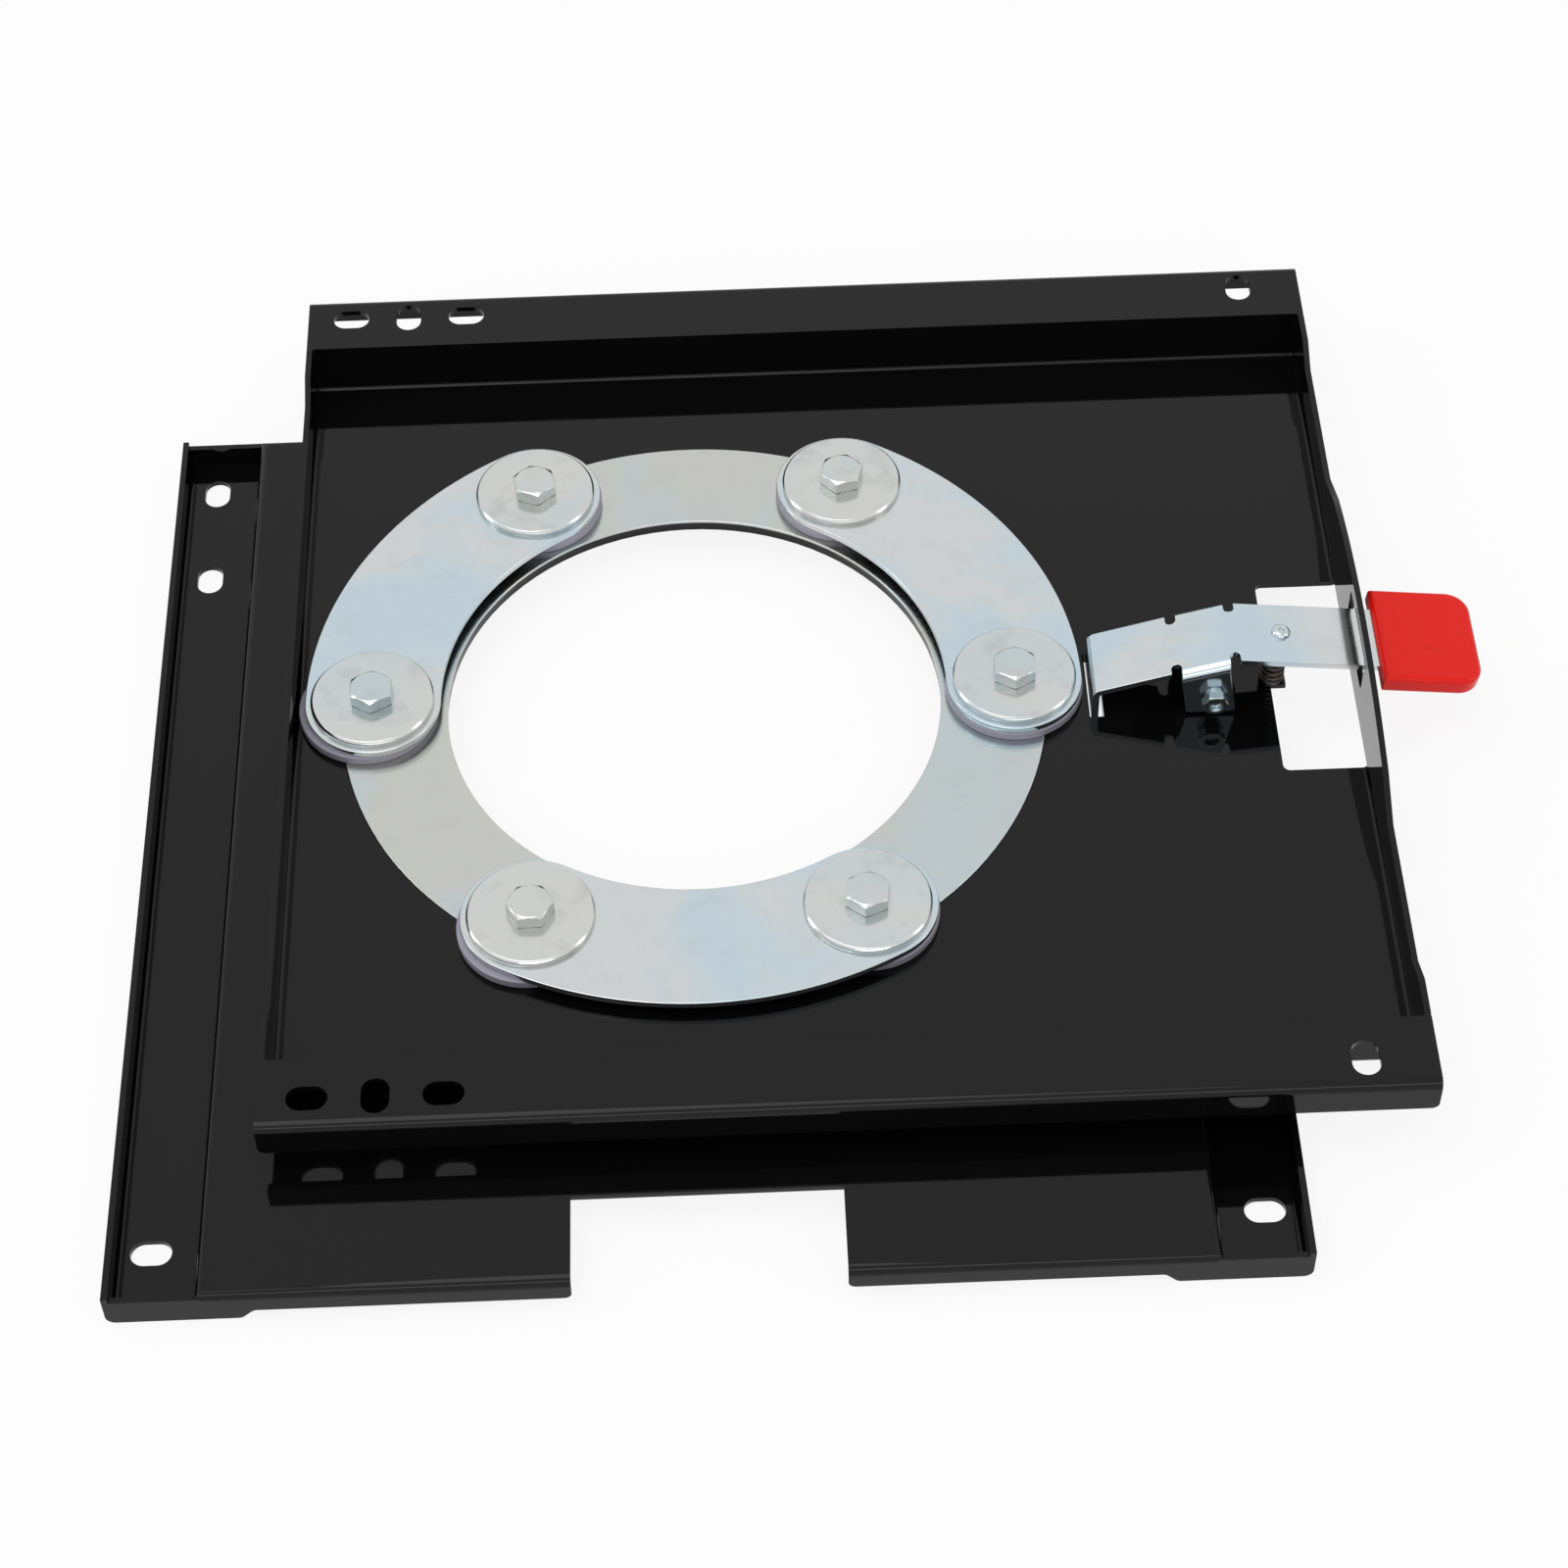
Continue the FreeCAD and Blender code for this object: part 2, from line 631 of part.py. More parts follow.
def make_ring():
    """Steel ring that the nylon discs bear on and the upper tray turns about."""
    outline = [("ring_inner", "platform_height"), ("ring_outer", "platform_height")]
    outline += [("ring_outer", DISC_UNDER), ("ring_inner", DISC_UNDER)]
    body = turned_piece("bearing_ring", outline)
    holes = new_sketch(body, "ring_holes", "XY_Plane", DISC_UNDER)
    for i in range(6):
        spot = around(BOLT_STEP * i)
        draw_circle(holes, spot["x"], spot["y"], "bolt_radius + bolt_clearance")
    cut_pocket(body, holes, f"{DISC_UNDER} - platform_height")
    return body


def add_cylinder(name, radius, z, height, x="0", y="0", turn="0", sweep="360"):
    """Add an upright cylinder, or a sector of one, tied to the sheet."""
    item = doc.addObject("Part::Cylinder", name)
    bind(item, "Radius", radius)
    bind(item, "Height", height)
    bind(item, "Angle", sweep)
    for axis, formula in (("x", x), ("y", y), ("z", z)):
        bind(item, f"Placement.Base.{axis}", formula)
    bind(item, "Placement.Rotation.Angle", turn)
    return item


def add_boolean(kind, name, first, others):
    """Fuse solids with the first, or cut them from it."""
    if len(others) > 1:
        group = doc.addObject("Part::MultiFuse", name + "_group")
        group.Shapes = others
        others = [group]
    item = doc.addObject(kind, name)
    item.Base = first
    item.Tool = others[0]
    item.Refine = True
    return item


def make_clamp(number):
    """Arc-shaped plate across two bolts, with round ends."""
    name = f"clamp_arc_{number + 1}"
    turn = 2 * BOLT_STEP * number
    level = {"z": CLAMP_UNDER, "height": "clamp_thickness"}
    sector = {"turn": str(turn), "sweep": str(BOLT_STEP)}
    outer = add_cylinder(name + "_outer", "bolt_circle + clamp_half_width", **level, **sector)
    inner = add_cylinder(name + "_inner", "bolt_circle - clamp_half_width", **level, **sector)
    band = add_boolean("Part::Cut", name + "_band", outer, [inner])
    caps = []
    holes = []
    for end in (0, 1):
        spot = around(turn + BOLT_STEP * end)
        caps.append(add_cylinder(f"{name}_cap_{end}", "clamp_half_width", **level, **spot))
        holes.append(add_cylinder(f"{name}_hole_{end}", "bolt_radius + bolt_clearance", **level, **spot))
    blank = add_boolean("Part::Fuse", name + "_blank", band, caps)
    plate = add_boolean("Part::Cut", name, blank, holes)
    plate.Label = name
    doc.recompute()
    return plate


def make_disc(number):
    """Nylon disc under each clamp end, which keeps the upper tray down."""
    outline = [("disc_bore", DISC_UNDER), ("disc_radius", DISC_UNDER)]
    outline += [("disc_radius", CLAMP_UNDER), ("disc_bore", CLAMP_UNDER)]
    return turned_piece(f"glide_disc_{number + 1}", outline, **around(BOLT_STEP * number))


def make_washer(number):
    """Large flat washer with a bevelled rim."""
    bore = "(bolt_radius + bolt_clearance)"
    outline = [(bore, WASHER_UNDER), ("washer_radius", WASHER_UNDER)]
    outline += [("washer_radius", f"{HEAD_UNDER} - washer_bevel")]
    outline += [("washer_radius - washer_bevel", HEAD_UNDER), (bore, HEAD_UNDER)]
    return turned_piece(f"flat_washer_{number + 1}", outline, **around(BOLT_STEP * number))


def make_screw(label, across, height, radius, length, **place):
    """Hexagon-head screw whose head stands on its own origin."""
    body = new_body(label, **place)
    head = new_sketch(body, label + "_head", "XY_Plane")
    hexagon(head, across)
    add_pad(body, head, height)
    shank = new_sketch(body, label + "_shank", "XY_Plane")
    draw_circle(shank, "0", "0", radius)
    add_pad(body, shank, length, back=True)
    return body


def make_hex_bolt(number):
    """Screw through the whole bearing stack into its nut."""
    place = dict(around(BOLT_STEP * number), z=HEAD_UNDER, turn=str(HEAD_TURNS[number]))
    label = f"hex_bolt_{number + 1}"
    return make_screw(label, "head_across", "head_height", "bolt_radius", "bolt_length", **place)


def make_weld_nut(number):
    """Nut welded under the platform."""
    label = f"weld_nut_{number + 1}"
    body = new_body(label, **around(BOLT_STEP * number), z=f"{PLATFORM_UNDER} - nut_height")
    block = new_sketch(body, label + "_block", "XY_Plane")
    hexagon(block, "head_across")
    draw_circle(block, "0", "0", "bolt_radius + thread_clearance")
    add_pad(body, block, "nut_height")
    return body


def make_pivot_bolt():
    """Cross bolt that the lever turns on, through both ears and the bracket."""
    place = {"x": PIVOT_X, "y": EAR_OUTER, "z": PIVOT_Z, "turn": "-90", "axis": (1, 0, 0)}
    length = f"2 * {EAR_OUTER} + pivot_nut_height - pivot_bolt_recess"
    head = ("pivot_head_across", "pivot_head_height")
    return make_screw("pivot_bolt", *head, "pivot_radius", length, **place)


def make_pivot_nut():
    """Flanged nut on the front end of the cross bolt."""
    place = {"x": PIVOT_X, "y": f"-{EAR_OUTER}", "z": PIVOT_Z, "turn": "90", "axis": (1, 0, 0)}
    body = new_body("pivot_nut", **place)
    block = new_sketch(body, "pivot_nut_block", "XY_Plane")
    hexagon(block, "pivot_head_across")
    add_pad(body, block, "pivot_nut_height")
    flange = new_sketch(body, "pivot_nut_flange", "XY_Plane")
    draw_circle(flange, "0", "0", "pivot_flange_radius")
    add_pad(body, flange, "pivot_flange_thickness")
    bore = new_sketch(body, "pivot_nut_bore", "XY_Plane", "pivot_nut_height")
    draw_circle(bore, "0", "0", "pivot_radius + thread_clearance")
    cut_pocket(body, bore, "pivot_nut_height")
    return body


def make_bracket():
    """Folded saddle welded to the pan's floor, whose cheeks carry the pivot."""
    body = new_body("lever_bracket")
    base = new_sketch(body, "bracket_base", "XY_Plane", FLOOR_TOP)
    near = f"({PIVOT_X} - bracket_length / 2)"
    far = f"({PIVOT_X} + bracket_length / 2)"
    draw_box(base, near, far, f"-{CHEEK_OUTER}", CHEEK_OUTER)
    add_pad(body, base, "sheet_thickness")
    web = new_sketch(body, "bracket_web", "XZ_Plane", f"-{CHEEK_OUTER}")
    round_left = f"({PIVOT_X} - bracket_radius)"
    round_right = f"({PIVOT_X} + bracket_radius)"
    corners = [(near, FLOOR_TOP), (far, FLOOR_TOP), (far, f"{FLOOR_TOP} + sheet_thickness")]
    corners += [(round_right, PIVOT_Z), (round_left, PIVOT_Z), (near, f"{FLOOR_TOP} + sheet_thickness")]
    draw_polygon(web, corners)
    web_pad = add_pad(body, web, "sheet_thickness")
    crown = new_sketch(body, "bracket_crown", "XZ_Plane", f"-{CHEEK_OUTER}")
    draw_circle(crown, PIVOT_X, PIVOT_Z, "bracket_radius")
    crown_pad = add_pad(body, crown, "sheet_thickness")
    mirror_across(body, "front_cheek", [web_pad, crown_pad], "XZ_Plane")
    bore = new_sketch(body, "bracket_bore", "XZ_Plane", CHEEK_OUTER)
    draw_circle(bore, PIVOT_X, PIVOT_Z, PIVOT_BORE)
    cut_pocket(body, bore, f"2 * {CHEEK_OUTER}")
    bends = lines_along(body, "x", y=CHEEK_OUTER, z=FLOOR_TOP)
    bends += lines_along(body, "x", y=f"-{CHEEK_OUTER}", z=FLOOR_TOP)
    round_edges(body, "bracket_bends", "bend_radius", bends)
    return body


def arm_height(distance):
    """Height of the lever's upper face at a distance past its peak."""
    return f"{PEAK_Z} - ({distance}) * tan(arm_slope)"


def make_lever():
    """Folded lever: locking tab, two ears for the pivot and a straight arm."""
    body = new_body("lock_lever")
    down = "(lever_thickness / cos(arm_slope))"
    tip = "(grip_start + grip_length - grip_end_wall - peak_arm)"
    end_x = f"({PIVOT_X} + grip_start + grip_length - grip_end_wall)"
    tab_end = "(platform_height + tab_rest_gap)"
    inner_z = f"({PIVOT_Z} + lever_inner_height)"
    top = [(TAB_X, tab_end), (TAB_X, inner_z), (KNEE_X, KNEE_Z), (PEAK_X, PEAK_Z)]
    top += [(end_x, arm_height(tip))]
    tab_back = f"({TAB_X} + lever_thickness)"
    inner_slope = f"(({KNEE_Z} - {inner_z}) / ({KNEE_X} - {TAB_X}))"
    bottom = [(end_x, f"{arm_height(tip)} - {down}"), (PEAK_X, f"{PEAK_Z} - {down}")]
    bottom += [(KNEE_X, f"{KNEE_Z} - {down}")]
    bottom += [(tab_back, f"{inner_z} - {down} + lever_thickness * {inner_slope}")]
    bottom += [(tab_back, tab_end)]
    profile = new_sketch(body, "lever_profile", "XZ_Plane", "-lever_width / 2")
    draw_polygon(profile, top + bottom)
    add_pad(body, profile, "lever_width")
    outer = lines_along(body, "y", x=TAB_X, z=inner_z)
    outer += lines_along(body, "y", x=PEAK_X, z=PEAK_Z)
    round_edges(body, "lever_outer_bends", "bend_radius + lever_thickness", outer)
    inner = lines_along(body, "y", x=PEAK_X, z=f"{PEAK_Z} - {down}")
    inner += lines_along(body, "y", x=tab_back, z=bottom[3][1])
    round_edges(body, "lever_inner_bends", "bend_radius", inner)

    # Ears folded down beside the bracket, square to the middle of the lever
    start = f"({KNEE_X} + relief_width / 2)"
    stop = f"({PEAK_X} - relief_width / 2)"
    slope = f"(({PEAK_Z} - {KNEE_Z}) / ({PEAK_X} - {KNEE_X}))"
    foot = f"({FLOOR_TOP} + ear_foot_gap)"
    tops = [f"({KNEE_Z} + ({x} - {KNEE_X}) * {slope})" for x in (start, stop)]
    sides = []
    for x, z in zip((start, stop), tops):
        lean = f"({z} - ear_straight - {foot}) * tan(ear_lean)"
        sides.append([(x, z), (x, f"{z} - ear_straight"), (f"{x} + {lean}", foot)])
    ear = new_sketch(body, "ear", "XZ_Plane", f"-{EAR_OUTER}")
    draw_polygon(ear, sides[0] + sides[1][::-1])
    ear_pad = add_pad(body, ear, "lever_thickness")
    mirror_across(body, "front_ear", [ear_pad], "XZ_Plane")

    # Notches at both ends of each fold, then the folds' own radii
    for name, x, z in (("knee_reliefs", KNEE_X, KNEE_Z), ("peak_reliefs", PEAK_X, PEAK_Z)):
        relief = new_sketch(body, name, "XY_Plane", f"{z} + {PAST}")
        for sign in ("-", ""):
            draw_slot(relief, x, f"{sign}{LEVER_HALF}", "2 * relief_depth", "relief_width", False)
        cut_pocket(body, relief, f"{down} + 2 * {PAST}")
    middle = f"(({start} + {stop}) / 2)"
    high = f"({tops[0]} + {tops[1]}) / 2"
    outer_folds = []
    for sign in ("-", ""):
        outer_folds += lines_along(body, "", x=middle, y=f"{sign}{EAR_OUTER}", z=high)
    round_edges(body, "ear_outer_folds", "bend_radius + lever_thickness", outer_folds)
    inner_folds = []
    for sign in ("-", ""):
        inner_folds += lines_along(body, "", x=middle, y=f"{sign}{EAR_INNER}", z=f"{high} - {down}")
    round_edges(body, "ear_inner_folds", "bend_radius", inner_folds)
    corners = []
    for side in sides:
        corners += lines_along(body, "y", x=side[-1][0], z=foot)
    round_edges(body, "ear_corners", "ear_corner", corners)
    bore = new_sketch(body, "ear_bore", "XZ_Plane", EAR_OUTER)
    draw_circle(bore, PIVOT_X, PIVOT_Z, PIVOT_BORE)
    cut_pocket(body, bore, f"2 * {EAR_OUTER}")
    hole = new_sketch(body, "rivet_hole", "XY_Plane", f"-{down}")
    hole.MapMode = "Deactivated"
    for axis, formula in (("x", f"{PIVOT_X} + rivet_arm"), ("y", "spring_offset")):
        bind(hole, f"Placement.Base.{axis}", formula)
    bind(hole, "Placement.Base.z", arm_height("rivet_arm - peak_arm"))
    hole.Placement.Rotation = FreeCAD.Rotation(FreeCAD.Vector(0, 1, 0), 1)
    bind(hole, "Placement.Rotation.Angle", "arm_slope")
    draw_circle(hole, "0", "0", "rivet_radius + rivet_clearance")
    cut_pocket(body, hole, "2 * lever_thickness")
    return body


def make_grip():
    """Moulded sleeve pushed over the end of the lever."""
    place = {"x": f"{PIVOT_X} + grip_start", "z": arm_height("grip_start - peak_arm")}
    body = new_body("lever_grip", turn="arm_slope", axis=(0, 1, 0), **place)
    length = "(grip_length / cos(arm_slope))"
    half = "(grip_width / 2)"
    block = new_sketch(body, "grip_block", "XY_Plane", "-lever_thickness - grip_wall")
    draw_box(block, "0", length, f"-{half}", half)
    add_pad(body, block, "lever_thickness + 2 * grip_wall")
    corners = []
    for sign in ("-", ""):
        corners += lines_along(body, "z", x=length, y=f"{sign}{half}")
    round_edges(body, "grip_corners", "grip_corner", corners)
    rim = lines_along(body, "y", x=length) + lines_along(body, "y", x="0")
    for sign in ("-", ""):
        rim += lines_along(body, "x", y=f"{sign}{half}")
    round_edges(body, "grip_rim", "grip_edge", rim)
    socket = new_sketch(body, "grip_socket", "YZ_Plane")
    draw_box(socket, f"-{LEVER_HALF}", LEVER_HALF, "-lever_thickness", "0")
    depth = "(grip_length - grip_end_wall) / cos(arm_slope) + lever_thickness * tan(arm_slope)"
    cut_pocket(body, socket, depth, forward=True)
    return body


def make_rivet():
    """Rivet through the lever, whose tail keeps the spring in its place."""
    place = {"x": f"{PIVOT_X} + rivet_arm", "y": "spring_offset"}
    place["z"] = arm_height("rivet_arm - peak_arm")
    body = new_body("spring_rivet", turn="arm_slope", axis=(0, 1, 0), **place)
    section = new_sketch(body, "rivet_section", "XZ_Plane")
    tail_top = "-lever_thickness"
    tail_end = "(-lever_thickness - rivet_tail_length)"
    outline = [("0", tail_end), ("rivet_tail_radius - rivet_tail_bevel", tail_end)]
    outline += [("rivet_tail_radius", f"{tail_end} + rivet_tail_bevel")]
    outline += [("rivet_tail_radius", tail_top), ("rivet_radius", tail_top), ("rivet_radius", "0")]
    outline += [("rivet_head_radius", "0"), ("rivet_head_radius", "rivet_head_rim")]
    outline += [("rivet_crown_radius", "rivet_head_height"), ("0", "rivet_head_height")]
    draw_polygon(section, outline)
    feature = body.newObject("PartDesign::Revolution", "rivet_turned")
    feature.Profile = section
    feature.ReferenceAxis = (section, ["V_Axis"])
    feature.Angle = 360
    doc.recompute()
    return body


def make_spring():
    """Coil spring between the pan's floor and the lever's arm."""
    body = new_body("return_spring", x=f"{PIVOT_X} + spring_arm", y="spring_offset", z=FLOOR_TOP)
    wire = new_sketch(body, "spring_wire", "XZ_Plane")
    middle = "spring_wire_radius"
    corners = [("spring_radius - spring_wire_radius", middle), ("spring_radius", "0")]
    corners += [("spring_radius + spring_wire_radius", middle)]
    corners += [("spring_radius", "2 * spring_wire_radius")]
    draw_polygon(wire, corners)
    under = arm_height("spring_arm + spring_radius + spring_wire_radius - peak_arm")
    height = f"{under} - lever_thickness / cos(arm_slope) - spring_end_gap - {FLOOR_TOP}"
    coil = body.newObject("PartDesign::AdditiveHelix", "spring_coil")
    coil.Profile = wire
    coil.ReferenceAxis = (wire, ["V_Axis"])
    coil.Mode = "height-turns-angle"
    bind(coil, "Height", f"{height} - 2 * spring_wire_radius")
    bind(coil, "Turns", "spring_turns")
    doc.recompute()
    return body


def check_piece(piece):
    """Stop if a sub-part didn't build."""
    if piece.Shape.isNull() or not piece.Shape.isValid() or not piece.Shape.Solids:
        raise RuntimeError(f"{piece.Label} has no valid solid")


pieces = [make_lower_tray(), make_upper_tray(), make_ring()]
pieces += [make_clamp(number) for number in range(3)]
for number in range(6):
    pieces += [make_disc(number), make_washer(number), make_hex_bolt(number), make_weld_nut(number)]
pieces += [make_bracket(), make_lever(), make_pivot_bolt(), make_pivot_nut()]
pieces += [make_grip(), make_rivet(), make_spring()]
doc.recompute()

for item in doc.Objects:
    if "Invalid" in item.State or "Error" in item.State:
        raise RuntimeError(f"{item.Label} failed: {item.State}")

os.makedirs("parts", exist_ok=True)
for piece in pieces:
    check_piece(piece)
    piece.Shape.exportStep(f"parts/{piece.Label}.step")
    box = piece.Shape.BoundBox
    reach = [box.XMin, box.XMax, box.YMin, box.YMax, box.ZMin, box.ZMax]
    print(piece.Label, [round(value, 2) for value in reach], round(piece.Shape.Volume))
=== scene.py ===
# %% [markdown]
# # A swivel seat base in its finishes
#
# The real object sits between a van's seat box and its seat. A black lower tray is bolted down, a
# black upper tray turns on it, and a bearing of zinc-plated steel and nylon holds the two together.
# A sprung lever with a red grip drops its tab into a slot and locks the turn. The solids are ready
# made, so this lesson dresses them with rounded sheet edges, real screw heads, plating, paint and
# light.

# %% Load the solids
import math

import bmesh
import bpy
from mathutils import Matrix, Vector


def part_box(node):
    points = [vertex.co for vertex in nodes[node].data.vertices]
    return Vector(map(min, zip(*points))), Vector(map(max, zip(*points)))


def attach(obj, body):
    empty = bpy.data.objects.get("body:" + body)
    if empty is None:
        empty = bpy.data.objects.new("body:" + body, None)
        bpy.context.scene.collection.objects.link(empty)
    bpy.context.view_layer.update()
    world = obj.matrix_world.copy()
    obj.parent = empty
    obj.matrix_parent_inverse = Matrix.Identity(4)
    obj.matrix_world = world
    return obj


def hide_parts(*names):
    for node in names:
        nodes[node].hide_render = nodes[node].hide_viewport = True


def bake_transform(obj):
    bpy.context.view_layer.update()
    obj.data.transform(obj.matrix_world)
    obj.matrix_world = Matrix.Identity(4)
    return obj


MM = 0.001
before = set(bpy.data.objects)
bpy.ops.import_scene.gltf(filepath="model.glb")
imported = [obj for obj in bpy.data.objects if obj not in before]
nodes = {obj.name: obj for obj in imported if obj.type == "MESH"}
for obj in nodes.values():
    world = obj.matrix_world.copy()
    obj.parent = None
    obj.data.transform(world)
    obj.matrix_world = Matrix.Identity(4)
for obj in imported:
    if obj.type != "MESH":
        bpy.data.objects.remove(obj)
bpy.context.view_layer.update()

# %% [markdown]
# ## Nodes and colours
#
# Every material here is a small tree of nodes. One helper adds a node, sets its options and links
# its sockets, which keeps each finish short enough to read. Colours are written as the hex values
# that a screen shows, and one function turns them into the linear numbers that Blender mixes. What
# is even over a whole surface is set on the shader itself, and only patterns get nodes.


# %% Helpers for nodes and colours
def add_node(tree, kind, inputs=None, **settings):
    """Add a node; inputs maps a socket to a value or to another node's output."""
    node = tree.nodes.new(kind)
    for name, value in settings.items():
        setattr(node, name, value)
    for socket, value in (inputs or {}).items():
        if isinstance(value, bpy.types.NodeSocket):
            tree.links.new(value, node.inputs[socket])
        else:
            node.inputs[socket].default_value = value
    return node


def colour(code):
    """Turn an sRGB hex code into linear red, green, blue and alpha."""
    parts = [int(code[k : k + 2], 16) / 255 for k in (1, 3, 5)]
    linear = [p / 12.92 if p <= 0.04045 else ((p + 0.055) / 1.055) ** 2.4 for p in parts]
    return (*linear, 1.0)


def start_finish(name, even):
    """Start a material; even holds what is the same all over the surface."""
    finish = bpy.data.materials.new(name)
    finish.use_nodes = True
    finish.node_tree.nodes.clear()
    shader = add_node(finish.node_tree, "ShaderNodeBsdfPrincipled", even)
    add_node(finish.node_tree, "ShaderNodeOutputMaterial", {"Surface": shader.outputs["BSDF"]})
    return finish, shader


# %% [markdown]
# ## Black paint
#
# The trays are dipped in black electrocoat. The film is thin, hard and almost flat, so it shows
# what stands round it as a dark mirror, and the colour itself gives very little light. Nearly all
# that the eye sees is the weak reflection of a clear film, so the specular level matters more than
# the base colour. A slow waviness of the sheet and a fine grain of the film keep the mirror from
# looking like glass.

# %% Black electrocoat
SHEET_WAVE = 18 * MM
FILM_GRAIN = 1.2 * MM


def make_black_paint():
    """Thin glossy black film on pressed sheet steel."""
    even = {"Base Color": colour("#090909"), "Specular IOR Level": 0.24}
    finish, shader = start_finish("black_electrocoat", even)
    tree = finish.node_tree
    place = add_node(tree, "ShaderNodeTexCoord").outputs["Object"]
    wave = add_node(
        tree, "ShaderNodeTexNoise", {"Vector": place, "Scale": 1 / SHEET_WAVE, "Detail": 2.0}
    ).outputs["Fac"]
    grain = add_node(
        tree, "ShaderNodeTexNoise", {"Vector": place, "Scale": 1 / FILM_GRAIN, "Detail": 2.0}
    ).outputs["Fac"]
    gloss = add_node(
        tree,
        "ShaderNodeMapRange",
        {"Value": wave, "From Min": 0.3, "From Max": 0.7, "To Min": 0.03, "To Max": 0.07},
    )
    slow = add_node(
        tree, "ShaderNodeBump", {"Height": wave, "Strength": 0.02, "Distance": 0.5 * MM}
    ).outputs["Normal"]
    fine = add_node(
        tree,
        "ShaderNodeBump",
        {"Height": grain, "Strength": 0.03, "Distance": 0.03 * MM, "Normal": slow},
    )
    tree.links.new(gloss.outputs["Result"], shader.inputs["Roughness"])
    tree.links.new(fine.outputs["Normal"], shader.inputs["Normal"])
    return finish


black_paint = make_black_paint()
print("finish:", black_paint.name)

# %% [markdown]
# ## Zinc plate
#
# The clamps, washers, screws and the lever are steel with a bright zinc plate. It is a metal, so it
# has no colour of its own beside its reflection: a top face mirrors the white room, and a cut edge
# mirrors the black tray below it. The clear passivation over the zinc turns faintly blue in
# patches, and handling leaves grey smudges. Two noises of different size do this, and a third one,
# stretched into long thin lines, gives the sheet its rolled grain. The washers are plated loose in
# a barrel and come out duller, so they get more smudges than the rest.

# %% Zinc-plated steel
PATCH = 70 * MM
SMUDGE = 12 * MM
LINE_LENGTH = 25 * MM
LINE_WIDTH = 0.5 * MM


def make_zinc(name, cool, warm, smudge, low, high):
    """Bright plate with blue and warm patches; low and high bound its roughness."""
    finish, shader = start_finish(name, {"Metallic": 1.0})
    tree = finish.node_tree
    place = add_node(tree, "ShaderNodeTexCoord").outputs["Object"]
    patch = add_node(
        tree,
        "ShaderNodeTexNoise",
        {"Vector": place, "Scale": 1 / PATCH, "Detail": 3.0, "Distortion": 0.5},
    )
    share = add_node(
        tree,
        "ShaderNodeMapRange",
        {"Value": patch.outputs["Fac"], "From Min": 0.46, "From Max": 0.6},
    )
    tint = add_node(
        tree,
        "ShaderNodeMix",
        {"Factor": share.outputs["Result"], "A": colour(warm), "B": colour(cool)},
        data_type="RGBA",
    )
    spot = add_node(
        tree,
        "ShaderNodeTexNoise",
        {"Vector": place, "Scale": 1 / SMUDGE, "Detail": 4.0, "Roughness": 0.55},
    )
    dirt = add_node(
        tree,
        "ShaderNodeMapRange",
        {"Value": spot.outputs["Fac"], "From Min": 0.52, "From Max": 0.8, "To Max": smudge},
    )
    worn = add_node(
        tree,
        "ShaderNodeMix",
        {"Factor": dirt.outputs["Result"], "A": tint.outputs["Result"], "B": colour("#8f908e")},
        data_type="RGBA",
    )
    stretch = add_node(
        tree,
        "ShaderNodeMapping",
        {"Vector": place, "Scale": (1 / LINE_LENGTH, 1 / LINE_WIDTH, 1 / LINE_LENGTH)},
    )
    lines = add_node(
        tree,
        "ShaderNodeTexNoise",
        {"Vector": stretch.outputs["Vector"], "Scale": 1.0, "Detail": 2.0},
    ).outputs["Fac"]
    haze = add_node(
        tree,
        "ShaderNodeMapRange",
        {"Value": lines, "From Min": 0.3, "From Max": 0.7, "To Min": low, "To Max": high},
    )
    relief = add_node(
        tree,
        "ShaderNodeBump",
        {"Height": spot.outputs["Fac"], "Strength": 0.05, "Distance": 0.05 * MM},
    )
    tree.links.new(worn.outputs["Result"], shader.inputs["Base Color"])
    tree.links.new(haze.outputs["Result"], shader.inputs["Roughness"])
    tree.links.new(relief.outputs["Normal"], shader.inputs["Normal"])
    return finish


zinc_plate = make_zinc("bright_zinc_plate", "#bfced6", "#cccfcf", 0.12, 0.13, 0.19)
washer_zinc = make_zinc("barrel_plated_washers", "#c6cccd", "#cccdca", 0.35, 0.15, 0.22)
ring_steel = make_zinc("ground_bearing_steel", "#bdc6c8", "#c3c4bf", 0.1, 0.16, 0.24)
screw_zinc = make_zinc("zinc_plated_screws", "#bfc9cb", "#cbcdca", 0.2, 0.12, 0.18)
print("finishes:", zinc_plate.name, washer_zinc.name, ring_steel.name, screw_zinc.name)

# %% [markdown]
# ## Nylon, soft vinyl and spring steel
#
# The glide discs are natural nylon, milky, with light inside it. The spring is oil-tempered wire,
# dark brown-grey and smooth. Both are even all over, so their shader values say all. The grip is
# soft vinyl that was moulded over the lever: strong red with a mild sheen, a fine moulded grain
# and a few dark smudges from hands. The grain is 0.1 mm on the real one and is drawn at 0.8 mm, so
# that it shows.

# %% Nylon and spring steel
NYLON_LOOKS = {
    "Base Color": colour("#9b98a5"),
    "Roughness": 0.4,
    "IOR": 1.53,
    "Subsurface Weight": 0.35,
    "Subsurface Radius": (3.0, 3.0, 3.4),
    "Subsurface Scale": MM,
}
WIRE_LOOKS = {"Base Color": colour("#57504b"), "Metallic": 1.0, "Roughness": 0.33}
nylon = start_finish("natural_nylon", NYLON_LOOKS)[0]
spring_steel = start_finish("oil_tempered_wire", WIRE_LOOKS)[0]
print("finishes:", nylon.name, spring_steel.name)

# %% Moulded vinyl
HAND_SMUDGE = 14 * MM
VINYL_GRAIN = 0.8 * MM


